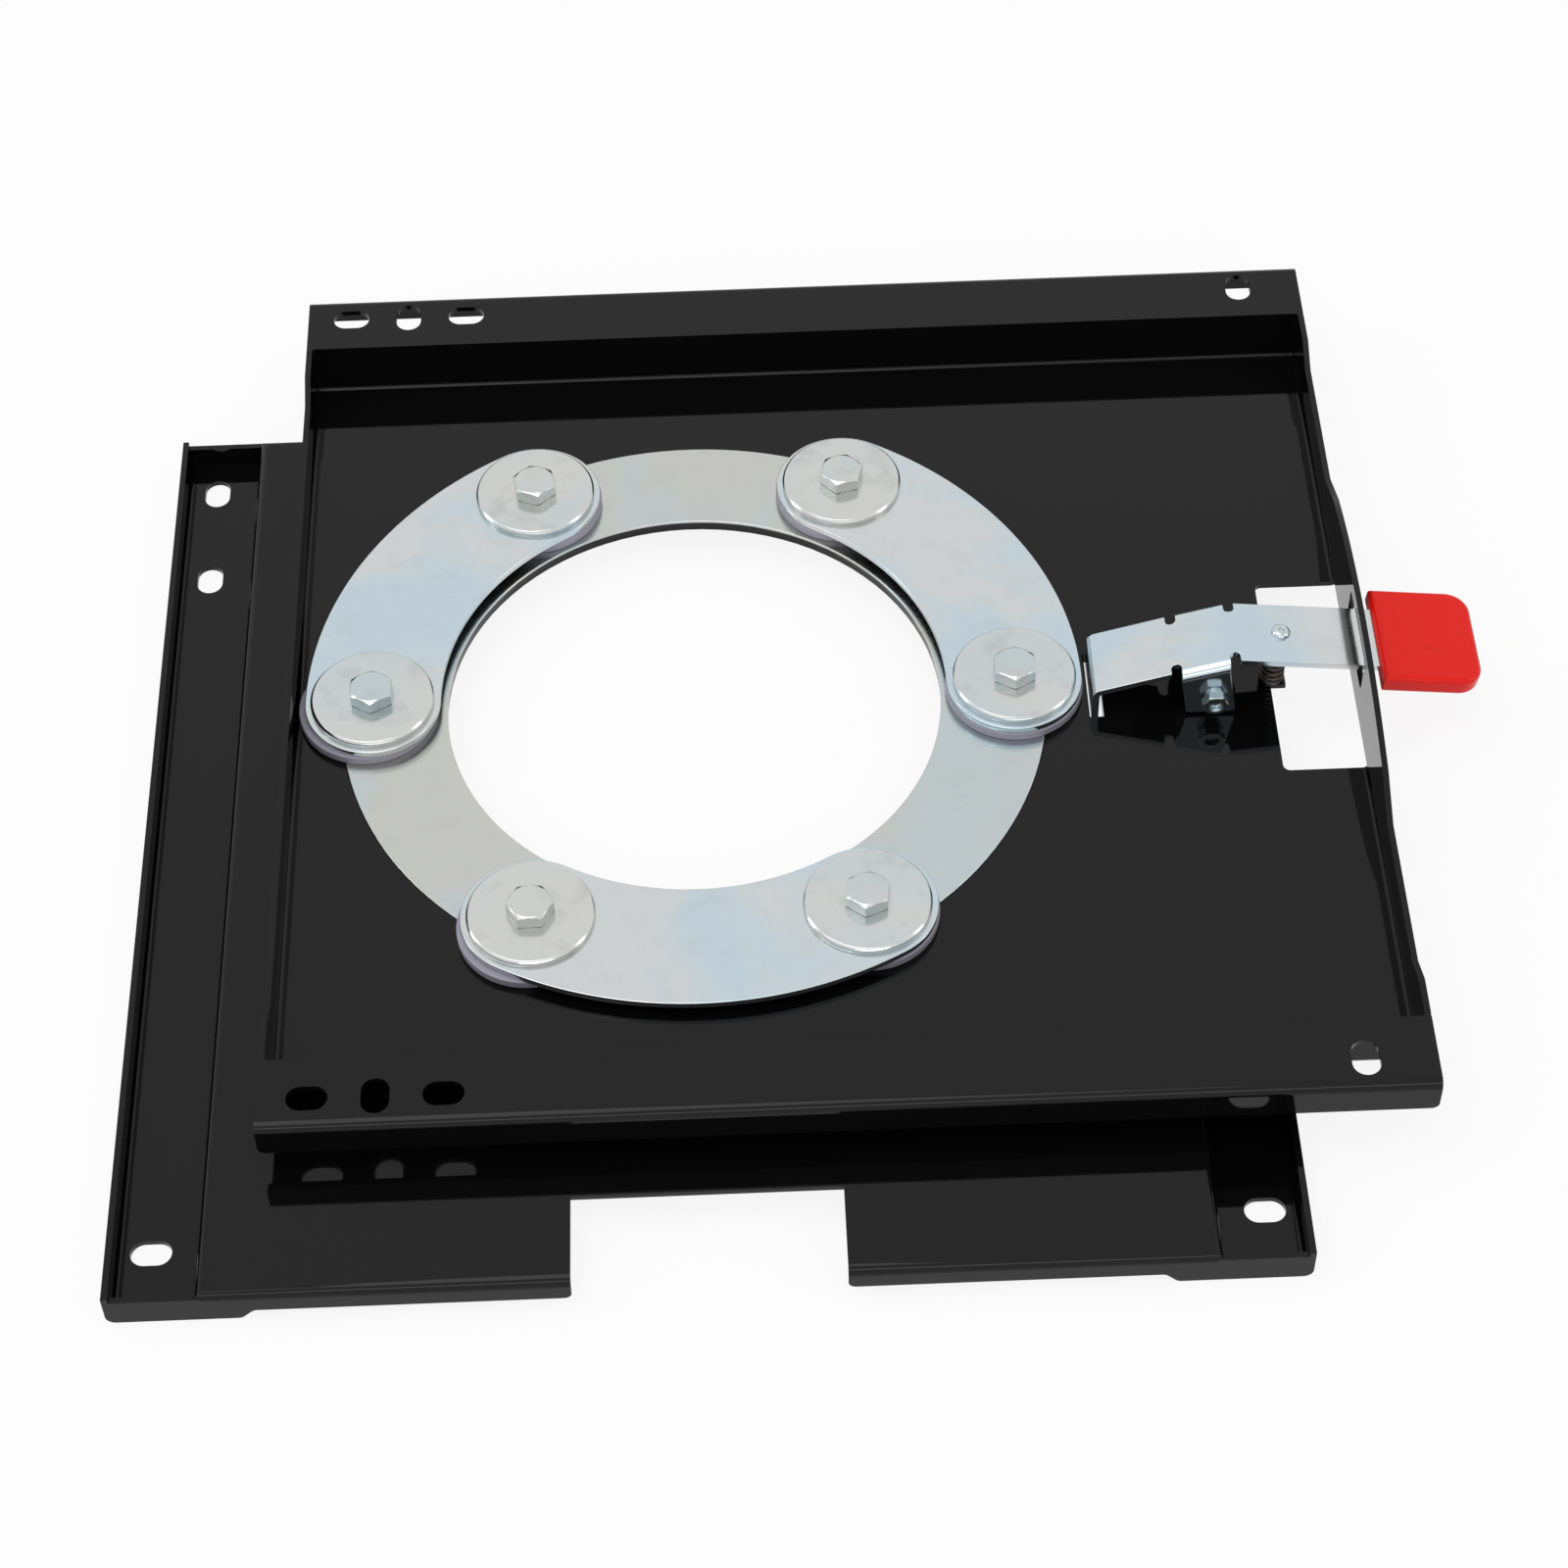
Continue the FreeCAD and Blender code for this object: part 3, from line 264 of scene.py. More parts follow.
def make_vinyl():
    """Soft red vinyl with a fine moulded grain."""
    even = {"Specular IOR Level": 0.24, "Roughness": 0.2}
    finish, shader = start_finish("moulded_red_vinyl", even)
    tree = finish.node_tree
    place = add_node(tree, "ShaderNodeTexCoord").outputs["Object"]
    touch = add_node(
        tree, "ShaderNodeTexNoise", {"Vector": place, "Scale": 1 / HAND_SMUDGE, "Detail": 3.0}
    )
    share = add_node(
        tree,
        "ShaderNodeMapRange",
        {"Value": touch.outputs["Fac"], "From Min": 0.6, "From Max": 0.78, "To Max": 0.3},
    )
    tint = add_node(
        tree,
        "ShaderNodeMix",
        {"Factor": share.outputs["Result"], "A": colour("#e81507"), "B": colour("#a51c12")},
        data_type="RGBA",
    )
    grain = add_node(
        tree, "ShaderNodeTexNoise", {"Vector": place, "Scale": 1 / VINYL_GRAIN, "Detail": 3.0}
    )
    relief = add_node(
        tree,
        "ShaderNodeBump",
        {"Height": grain.outputs["Fac"], "Strength": 0.12, "Distance": 0.1 * MM},
    )
    tree.links.new(tint.outputs["Result"], shader.inputs["Base Color"])
    tree.links.new(relief.outputs["Normal"], shader.inputs["Normal"])
    return finish


red_vinyl = make_vinyl()
print("finish:", red_vinyl.name)

# %% [markdown]
# ## Sheet metal from the solids
#
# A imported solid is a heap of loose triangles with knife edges. On the real trays every cut edge is
# a little round, and the paint catches a thin line of light there. So each sheet piece is a copy:
# its triangles are joined, flat areas are merged, and a narrow bevel rounds the sharp edges.
# Weighted normals keep the flats flat. The solid itself stays as it is, hidden behind its copy.


# %% Round and smooth a piece
def apply_modifiers(piece):
    """Turn what the modifiers make into the piece's own plain mesh."""
    depsgraph = bpy.context.evaluated_depsgraph_get()
    mesh = bpy.data.meshes.new_from_object(
        piece.evaluated_get(depsgraph), preserve_all_data_layers=True, depsgraph=depsgraph
    )
    piece.modifiers.clear()
    piece.data = mesh
    mesh.name = piece.name


def weigh_normals(piece):
    """Keep flats flat beside rounded edges."""
    weigh = piece.modifiers.new("normals", "WEIGHTED_NORMAL")
    weigh.keep_sharp = True
    apply_modifiers(piece)


def soften(piece, width=0.0, sharp=30):
    """Round the edges that turn by more than sharp degrees, and smooth the rest."""
    for polygon in piece.data.polygons:
        polygon.use_smooth = True
    if width:
        bevel = piece.modifiers.new("edges", "BEVEL")
        bevel.limit_method = "ANGLE"
        bevel.angle_limit = math.radians(sharp)
        bevel.width = width * MM
        bevel.segments = 2
        bevel.miter_outer = "MITER_ARC"
    weigh_normals(piece)


# %% Copy a solid and hand the copy over
def new_piece(name, shape):
    """Make an object from a bmesh."""
    mesh = bpy.data.meshes.new(name)
    shape.to_mesh(mesh)
    shape.free()
    piece = bpy.data.objects.new(name, mesh)
    bpy.context.scene.collection.objects.link(piece)
    return piece


def copy_solid(node, name):
    """Copy a solid with its triangles joined and its flat areas merged."""
    shape = bmesh.new()
    shape.from_mesh(nodes[node].data)
    bmesh.ops.remove_doubles(shape, verts=shape.verts, dist=0.001 * MM)
    bmesh.ops.dissolve_limit(
        shape, angle_limit=math.radians(0.5), verts=shape.verts, edges=shape.edges
    )
    return new_piece(name, shape)


def hand_over(piece, finish, body, slot, *stands_for):
    """Give a piece its finish and its body, and hide the solids it stands for; the slot is not used.

    A piece given no body is not attached to one.
    """
    piece.data.materials.clear()
    piece.data.materials.append(finish)
    if body:
        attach(piece, body)
    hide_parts(*stands_for)
    print(piece.name, "faces:", len(piece.data.polygons))
    return piece


def dress_solid(node, name, finish, body, slot, edge):
    """Copy a solid, round its edges by edge millimetres and hand it over."""
    piece = copy_solid(node, name)
    soften(piece, edge)
    return hand_over(piece, finish, body, slot, node)


# %% [markdown]
# ## The trays, the ring and the lever
#
# In the photograph the edge of the lower tray's round hole just shows inside the ring, so the copy
# draws that hole a little smaller than the solid has it. The ring's own bore looks dark below its
# bright rim, because it lies in shade and mirrors the shaded floor under the base. So its wall gets
# the black finish up to one millimetre below the top: a painted shade and dark reflection.

# %% The two trays
TRAY_EDGE = 0.45
SOLID_HOLE, DRAWN_HOLE = 105.5 * MM, 104.2 * MM

lower_tray = copy_solid("lower_tray", "lower_tray_sheet")
for corner in lower_tray.data.vertices:
    radius = corner.co.xy.length
    if abs(radius - SOLID_HOLE) < 0.1 * MM:
        corner.co.xy *= DRAWN_HOLE / radius
soften(lower_tray, TRAY_EDGE)
hand_over(lower_tray, black_paint, "base", "black_paint", "lower_tray")
dress_solid(
    "upper_tray", "upper_tray_sheet", black_paint, "seat_plate", "black_paint", edge=TRAY_EDGE
)

# %% The ring and the three clamps
RIM_HEIGHT = 1.0 * MM
BORE_REACH = 104.4 * MM  # only the bore's wall is nearer to the axis
WALL_TILT = 0.7  # a wall's normal points up or down by less than this


def paint_shade_on_bore(piece, finish, reach, height):
    """Paint shade on the wall of a hole: a second, dark finish, up to a height."""
    piece.data.materials.append(finish)
    shape = bmesh.new()
    shape.from_mesh(piece.data)
    parts = shape.verts[:] + shape.edges[:] + shape.faces[:]
    bmesh.ops.bisect_plane(shape, geom=parts, plane_co=(0, 0, height), plane_no=(0, 0, 1))
    for face in shape.faces:
        centre = face.calc_center_median()
        inside = centre.xy.length < reach and centre.z < height
        face.material_index = int(inside and abs(face.normal.z) < WALL_TILT)
    shape.to_mesh(piece.data)
    shape.free()


ring = dress_solid(
    "bearing_ring", "bearing_ring_steel", ring_steel, "base", "zinc_steel", edge=0.35
)
# The bore's black finish is painted shade and dark reflection below the bright rim.
paint_shade_on_bore(ring, black_paint, BORE_REACH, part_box("bearing_ring")[1].z - RIM_HEIGHT)
for number in (1, 2, 3):
    clamp = f"clamp_arc_{number}"
    dress_solid(clamp, f"{clamp}_plate", zinc_plate, "base", "zinc_steel", edge=0.4)

# %% The lever, its bracket and its grip
dress_solid(
    "lever_bracket", "lever_bracket_sheet", black_paint, "seat_plate", "black_paint", edge=0.35
)
dress_solid("lock_lever", "lock_lever_sheet", zinc_plate, "lever", "zinc_steel", edge=0.4)
dress_solid("lever_grip", "lever_grip_vinyl", red_vinyl, "lever", "red_grip", edge=0.3)

# %% [markdown]
# ## Turned and hexagonal shapes
#
# Washers, discs, screw heads and nuts are the same kind of shape: rings of points stacked one on
# the other and joined by a skin. A washer's rings are circles. A screw head's lower rings follow
# its hexagon, and the top ring is the circle where the chamfer starts, so the curved lines where
# the chamfer meets the flats come out by themselves.


# %% Skin a stack of rings
def skin(name, rings, closed=False):
    """Join rings of equally many points; closed also joins the last to the first."""
    shape = bmesh.new()
    rows = [[shape.verts.new(point) for point in ring] for ring in rings]
    count = len(rows[0])
    pairs = list(zip(rows, rows[1:])) + ([(rows[-1], rows[0])] if closed else [])
    for low, high in pairs:
        for k in range(count):
            after = (k + 1) % count
            shape.faces.new((low[k], low[after], high[after], high[k]))
    bmesh.ops.remove_doubles(shape, verts=shape.verts, dist=0.001 * MM)
    bmesh.ops.recalc_face_normals(shape, faces=shape.faces)
    return new_piece(name, shape)


# %% Rings for circles and hexagons
RING_STEPS = 96
SIXTH = math.pi / 3


def circle_ring(radius, height, steps=RING_STEPS):
    """Points of a level circle, in millimetres."""
    turns = [2 * math.pi * k / steps for k in range(steps)]
    return [Vector((radius * math.cos(t), radius * math.sin(t), height)) * MM for t in turns]


def hexagon_ring(across, height_at):
    """Points on the flats of a hexagon; height_at gives the height from the radius."""
    points = []
    for k in range(RING_STEPS):
        turn = 2 * math.pi * k / RING_STEPS
        off_flat = turn % SIXTH - SIXTH / 2
        radius = across / 2 / math.cos(off_flat)
        point = (radius * math.cos(turn), radius * math.sin(turn), height_at(radius))
        points.append(Vector(point) * MM)
    return points


# %% Whole hexagons and turned pieces
FACE_SHARE = 0.47  # radius of the top's flat circle over the width across flats
FOOT_SHARE = 0.49  # the same for the underside
FOOT_STEP = 0.25  # millimetres
CHAMFER_SLOPE = math.tan(math.radians(30))


def hexagon_piece(name, across, height, bore=0.0):
    """A chamfered hexagon that stands on its origin, plain or with a bore."""
    face = across * FACE_SHARE
    rings = [
        circle_ring(bore, 0.0),
        circle_ring(across * FOOT_SHARE, 0.0),
        hexagon_ring(across, lambda radius: FOOT_STEP),
        hexagon_ring(across, lambda radius: height - (radius - face) * CHAMFER_SLOPE),
        circle_ring(face, height),
        circle_ring(bore, height),
    ]
    piece = skin(name, rings, closed=bore > 0)
    soften(piece, 0.25, sharp=24)
    return piece


def turned_piece(name, outline, edge):
    """Turn a closed outline of radius and height about its own axis."""
    piece = skin(name, [circle_ring(r, z) for r, z in outline], closed=True)
    soften(piece, edge)
    return piece


# %% Templates for what stands on the bolt circle
HEAD_ACROSS, HEAD_HEIGHT = 17.0, 6.4
NUT_HEIGHT, NUT_BORE = 8.0, 5.1
WASHER_OUTLINE = [(5.5, 0), (26, 0), (26, 2), (25, 3), (5.5, 3)]
DISC_OUTLINE = [(7.4, 0), (29, 0), (29, 4), (7.4, 4)]

bolt_head = hexagon_piece("bolt_head_template", HEAD_ACROSS, HEAD_HEIGHT)
nut_block = hexagon_piece("nut_template", HEAD_ACROSS, NUT_HEIGHT, bore=NUT_BORE)
washer = turned_piece("washer_template", WASHER_OUTLINE, 0.25)
disc = turned_piece("disc_template", DISC_OUTLINE, 0.5)
print("templates:", bolt_head.name, nut_block.name, washer.name, disc.name)

# %% [markdown]
# ## Helpers for node trees
#
# A Geometry Nodes tree makes what repeats or follows a rule. Each tree here starts from named
# inputs for its sizes and its finish, and ends by turning instances into real mesh, because an
# export drops instances. Sums are written as a list of steps, one math node each, so that they
# read like lines of arithmetic.


# %% Start, sum, end and run a tree
def start_tree(name, *inputs):
    """Start a tree; an input is a size's name, or a name with another kind of socket."""
    tree = bpy.data.node_groups.new(name, "GeometryNodeTree")
    for socket in (("Start", "NodeSocketGeometry"), *inputs, ("Finish", "NodeSocketMaterial")):
        label, kind = (socket, "NodeSocketFloat") if isinstance(socket, str) else socket
        tree.interface.new_socket(label, in_out="INPUT", socket_type=kind)
    tree.interface.new_socket("Pieces", in_out="OUTPUT", socket_type="NodeSocketGeometry")
    return tree, {socket.name: socket for socket in add_node(tree, "NodeGroupInput").outputs}


def work_out(tree, values, *steps):
    """Add a math node for each step; a word in a step names an earlier value."""
    for name, operation, *terms in steps:
        sockets = {k: values.get(term, term) for k, term in enumerate(terms)}
        sum_node = add_node(tree, "ShaderNodeMath", sockets, operation=operation)
        values[name] = sum_node.outputs["Value"]


def end_tree(tree, geometry, finish):
    """Turn instances into real mesh and give it its finish."""
    real = add_node(tree, "GeometryNodeRealizeInstances", {"Geometry": geometry})
    painted = add_node(
        tree,
        "GeometryNodeSetMaterial",
        {"Geometry": real.outputs["Geometry"], "Material": finish},
    )
    add_node(tree, "NodeGroupOutput", {"Pieces": painted.outputs["Geometry"]})
    return tree


def run_tree(name, tree, mesh, **values):
    """Run a node tree on a mesh and keep the result as a plain piece."""
    piece = bpy.data.objects.new(name, mesh.copy())
    bpy.context.scene.collection.objects.link(piece)
    modifier = piece.modifiers.new("nodes", "NODES")
    modifier.node_group = tree
    sockets = [item for item in tree.interface.items_tree if item.in_out == "INPUT"]
    identifiers = {socket.name: socket.identifier for socket in sockets}
    for key, value in values.items():
        modifier[identifiers[key.replace("_", " ")]] = value
    apply_modifiers(piece)
    return piece


# %% [markdown]
# ## Six bolt places
#
# Each bolt clamps the same stack: washer, clamp, nylon disc, ring and a welded nut. Instead of
# copying each piece six times by hand, six points hold the places, and one node tree puts a
# template on every point. Each point also says how far its screw head is turned and how far its
# disc has slipped outward in its clearance, which two of them have.

# %% The points
HEAD_TURNS = (30, 14, 40, 30, 0, 22)  # degrees
DISC_SLIPS = (0.0, 0.0, 0.0, 2.3, 2.3, 0.0)  # millimetres


def bolt_points():
    """Six points at the bolts' own axes, each with its turn and its slip."""
    mesh = bpy.data.meshes.new("bolt_places")
    centres = []
    for number in range(1, 7):
        low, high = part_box(f"flat_washer_{number}")
        centre = (low + high) / 2
        centres.append((centre.x, centre.y, 0.0))
    mesh.from_pydata(centres, [], [])
    turn = mesh.attributes.new("turn", "FLOAT", "POINT")
    turn.data.foreach_set("value", [math.radians(value) for value in HEAD_TURNS])
    slip = mesh.attributes.new("slip", "FLOAT", "POINT")
    slip.data.foreach_set("value", [value * MM for value in DISC_SLIPS])
    return mesh


places = bolt_points()
print("bolt places:", len(places.vertices))


# %% The tree that puts a template on every point
def make_stand_tree():
    """Stand a template on each point, turned and slipped as the point says."""
    tree, values = start_tree(
        "stand_on_bolt_places",
        ("Template", "NodeSocketObject"),
        "Lift",
        "Turn share",
        "Slip share",
    )
    for word in ("turn", "slip"):
        held = add_node(
            tree, "GeometryNodeInputNamedAttribute", {"Name": word}, data_type="FLOAT"
        )
        values[word] = held.outputs["Attribute"]
    work_out(
        tree,
        values,
        ("spin", "MULTIPLY", "turn", "Turn share"),
        ("reach", "MULTIPLY", "slip", "Slip share"),
    )
    spot = add_node(tree, "GeometryNodeInputPosition").outputs["Position"]
    outward = add_node(tree, "ShaderNodeVectorMath", {0: spot}, operation="NORMALIZE")
    slipped = add_node(
        tree,
        "ShaderNodeVectorMath",
        {0: outward.outputs["Vector"], "Scale": values["reach"]},
        operation="SCALE",
    )
    lifted = add_node(tree, "ShaderNodeCombineXYZ", {"Z": values["Lift"]})
    shift = add_node(
        tree,
        "ShaderNodeVectorMath",
        {0: slipped.outputs["Vector"], 1: lifted.outputs["Vector"]},
        operation="ADD",
    )
    moved = add_node(
        tree,
        "GeometryNodeSetPosition",
        {"Geometry": values["Start"], "Offset": shift.outputs["Vector"]},
    )
    template = add_node(tree, "GeometryNodeObjectInfo", {"Object": values["Template"]})
    heading = add_node(tree, "ShaderNodeCombineXYZ", {"Z": values["spin"]})
    stood = add_node(
        tree,
        "GeometryNodeInstanceOnPoints",
        {
            "Points": moved.outputs["Geometry"],
            "Instance": template.outputs["Geometry"],
            "Rotation": heading.outputs["Vector"],
        },
    )
    return end_tree(tree, stood.outputs["Instances"], values["Finish"])


stand_tree = make_stand_tree()
print("tree:", stand_tree.name, "nodes:", len(stand_tree.nodes))


# %% Stand the stack on the six places
def stand_six(name, template, height, finish, turn=0.0, slip=0.0):
    """Stand one template on all six places."""
    return run_tree(
        name,
        stand_tree,
        places,
        Template=template,
        Lift=height,
        Turn_share=turn,
        Slip_share=slip,
        Finish=finish,
    )


def hand_over_six(piece, finish, slot, node):
    """Hand over a piece that stands for six numbered solids."""
    return hand_over(piece, finish, "base", slot, *[f"{node}_{k}" for k in range(1, 7)])


washer_low, washer_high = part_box("flat_washer_1")
disc_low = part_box("glide_disc_1")[0]
weld_low, weld_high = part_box("weld_nut_1")
washers = stand_six("flat_washers", washer, washer_low.z, washer_zinc)
hand_over_six(washers, washer_zinc, "zinc_steel", "flat_washer")
discs = stand_six("glide_discs", disc, disc_low.z, nylon, slip=1.0)
hand_over_six(discs, nylon, "nylon", "glide_disc")
heads = stand_six("bolt_heads", bolt_head, washer_high.z, screw_zinc, turn=1.0)
hand_over_six(heads, screw_zinc, "zinc_steel", "hex_bolt")
weld_nuts = stand_six("weld_nuts", nut_block, weld_low.z, ring_steel)
hand_over_six(weld_nuts, ring_steel, "zinc_steel", "weld_nut")
for template in (bolt_head, nut_block, washer, disc):
    bpy.data.objects.remove(template)

# %% [markdown]
# ## Screw threads that follow a rule
#
# A thread is a groove that climbs by one pitch for every turn. That is a rule, so Geometry Nodes
# can draw it: a flat grid is rolled into a tube, and each point's radius comes from how far it is
# along the pitch. The same tree serves the big bolts, which show below the tray, and the lever's
# cross bolt. Just before its end the rod is turned down to a point, so that it is chamfered and
# closed.

# %% The thread tree
THREAD_SIDES = 32
ROWS_PER_PITCH = 8.0


def make_thread_tree():
    """Roll a grid into a threaded rod that hangs down from its origin."""
    tree, values = start_tree("screw_thread", "Radius", "Pitch", "Depth", "Length")
    work_out(
        tree,
        values,
        ("pitches", "DIVIDE", "Length", "Pitch"),
        ("rows", "MULTIPLY", "pitches", ROWS_PER_PITCH),
    )
    grid = add_node(
        tree,
        "GeometryNodeMeshGrid",
        {
            "Size X": 1.0,
            "Size Y": 1.0,
            "Vertices X": THREAD_SIDES + 1,
            "Vertices Y": values["rows"],
        },
    )
    spot = add_node(tree, "GeometryNodeInputPosition").outputs["Position"]
    flat = add_node(tree, "ShaderNodeSeparateXYZ", {"Vector": spot}).outputs
    values.update(flat_x=flat["X"], flat_y=flat["Y"])
    work_out(
        tree,
        values,
        ("round", "ADD", "flat_x", 0.5),
        ("angle", "MULTIPLY", "round", 2 * math.pi),
        ("along", "ADD", "flat_y", 0.5),
        ("travel", "MULTIPLY", "along", "Length"),
        ("climbed", "DIVIDE", "travel", "Pitch"),
        ("phase", "SUBTRACT", "climbed", "round"),
        ("half groove", "PINGPONG", "phase", 0.5),
        ("groove", "MULTIPLY", "half groove", 2.0),
        ("cut", "MULTIPLY", "groove", "Depth"),
        ("left", "SUBTRACT", "Length", "travel"),
        ("end taper", "SUBTRACT", "Depth", "left"),
        ("end cut", "MULTIPLY", "end taper", 1.2),
        ("deeper cut", "MAXIMUM", "cut", "end cut"),
        ("rest", "SUBTRACT", "Radius", "deeper cut"),
        ("before end", "GREATER_THAN", "left", 0.02 * MM),
        ("radius", "MULTIPLY", "rest", "before end"),
        ("cosine", "COSINE", "angle"),
        ("sine", "SINE", "angle"),
        ("x", "MULTIPLY", "radius", "cosine"),
        ("y", "MULTIPLY", "radius", "sine"),
        ("z", "MULTIPLY", "travel", -1.0),
    )
    rolled = add_node(tree, "ShaderNodeCombineXYZ", {axis.upper(): values[axis] for axis in "xyz"})
    shaped = add_node(
        tree,
        "GeometryNodeSetPosition",
        {"Geometry": grid.outputs["Mesh"], "Position": rolled.outputs["Vector"]},
    )
    joined = add_node(
        tree,
        "GeometryNodeMergeByDistance",
        {"Geometry": shaped.outputs["Geometry"], "Distance": 0.002 * MM},
    )
    return end_tree(tree, joined.outputs["Geometry"], values["Finish"])


thread_tree = make_thread_tree()
nothing = bpy.data.meshes.new("nothing")
print("tree:", thread_tree.name, "nodes:", len(thread_tree.nodes))


# %% The big bolts' threaded ends
# Radius, pitch and depth in millimetres.
M10_THREAD = (5.0, 1.5, 0.85)
M6_THREAD = (3.0, 1.0, 0.55)


def turn_outward(piece):
    """Make a closed piece's faces point outwards."""
    shape = bmesh.new()
    shape.from_mesh(piece.data)
    bmesh.ops.recalc_face_normals(shape, faces=shape.faces)
    shape.to_mesh(piece.data)
    shape.free()


def threaded_rod(name, thread, length):
    """A rod with one of the two threads."""
    radius, pitch, depth = (size * MM for size in thread)
    rod = run_tree(
        name,
        thread_tree,
        nothing,
        Radius=radius,
        Pitch=pitch,
        Depth=depth,
        Length=length,
        Finish=screw_zinc,
    )
    turn_outward(rod)
    return rod


bolt_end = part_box("hex_bolt_1")[0].z
bolt_rod = threaded_rod("rod_template", M10_THREAD, weld_high.z - bolt_end)
soften(bolt_rod)
threads = stand_six("bolt_threads", bolt_rod, weld_high.z, screw_zinc, turn=1.0)
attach(threads, "base")
bpy.data.objects.remove(bolt_rod)
print(threads.name, "faces:", len(threads.data.polygons))

# %% [markdown]
# ## The lever's cross bolt, rivet and spring
#
# The cross bolt lies along Y through both ears, with its head at the rear and a nut with a narrow
# collar in front. The rivet has a low dome with the small hollow that its setting punch leaves. It
# stands square on the lever's arm, which slopes. The spring is one wire on a path that climbs, and
# its first and last turns lie flat on each other, as a real compression spring's do, so the path
# is again a rule for Geometry Nodes. Its foot stands on the pan and its head follows the lever, so
# it rides on neither and is left without a body.


# %% Cross bolt and its nut
def join_pieces(name, *pieces):
    """Join plain pieces into one."""
    shape = bmesh.new()
    for piece in pieces:
        shape.from_mesh(piece.data)
        bpy.data.objects.remove(piece)
    joined = new_piece(name, shape)
    for polygon in joined.data.polygons:
        polygon.use_smooth = True
    return joined


CROSS_ACROSS = 10.0
NUT_COLLAR, COLLAR_RADIUS, CROSS_BORE = 1.3, 4.6, 3.05
COLLAR_OUTLINE = [
    (CROSS_BORE, 0.0),
    (COLLAR_RADIUS, 0.0),
    (COLLAR_RADIUS, NUT_COLLAR),
    (CROSS_BORE, NUT_COLLAR),
]
bolt_low, bolt_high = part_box("pivot_bolt")
ear_low, ear_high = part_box("lock_lever")
nut_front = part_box("pivot_nut")[0].y
cross = (bolt_low + bolt_high) / 2
at_rear = Matrix.Translation((cross.x, ear_high.y, cross.z))
at_front = Matrix.Translation((cross.x, ear_low.y, cross.z))

cross_head = hexagon_piece("cross_head", CROSS_ACROSS, (bolt_high.y - ear_high.y) / MM)
cross_rod = threaded_rod("cross_rod", M6_THREAD, ear_high.y - bolt_low.y)
cross_bolt = join_pieces("cross_bolt", cross_head, cross_rod)
cross_bolt.data.transform(at_rear @ Matrix.Rotation(-math.pi / 2, 4, "X"))
weigh_normals(cross_bolt)
hand_over(cross_bolt, screw_zinc, "lever", "zinc_steel", "pivot_bolt")

nut_height = (ear_low.y - nut_front) / MM - NUT_COLLAR
cross_nut = hexagon_piece("cross_nut", CROSS_ACROSS, nut_height, bore=CROSS_BORE)
cross_nut.data.transform(Matrix.Translation((0.0, 0.0, NUT_COLLAR * MM)))
collar = turned_piece("collar", COLLAR_OUTLINE, 0.2)
flanged_nut = join_pieces("flanged_nut", cross_nut, collar)
flanged_nut.data.transform(at_front @ Matrix.Rotation(math.pi / 2, 4, "X"))
weigh_normals(flanged_nut)
hand_over(flanged_nut, screw_zinc, "lever", "zinc_steel", "pivot_nut")

# %% The rivet
ARM_SLOPE = math.radians(6.8)
RIVET_LIFT = 2.47 * MM  # from the arm's face up to the solid's highest point
RIVET_SHANK = [(0, -7), (1.6, -7), (2.4, -6.2), (2.4, -3), (2, -3), (2, 0)]
RIVET_DOME = [(4, 0), (4, 0.5), (3.7, 1.2), (3.1, 1.75), (2.3, 2.1), (1.4, 2.2)]
RIVET_HOLLOW = [(1.1, 2.0), (0.9, 1.0), (0, 0.9)]

rivet_low, rivet_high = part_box("spring_rivet")
rivet_rings = [circle_ring(r, z, 48) for r, z in RIVET_SHANK + RIVET_DOME + RIVET_HOLLOW]
rivet = skin("spring_rivet_dome", rivet_rings)
soften(rivet, 0.12, sharp=25)
rivet_axis = (rivet_low + rivet_high) / 2
stand = Matrix.Translation((rivet_axis.x, rivet_axis.y, rivet_high.z - RIVET_LIFT))
rivet.data.transform(stand @ Matrix.Rotation(ARM_SLOPE, 4, "Y"))
hand_over(rivet, screw_zinc, "lever", "zinc_steel", "spring_rivet")

# %% The spring's path
WIRE_POINTS = 280
WIRE_SIDES = 14


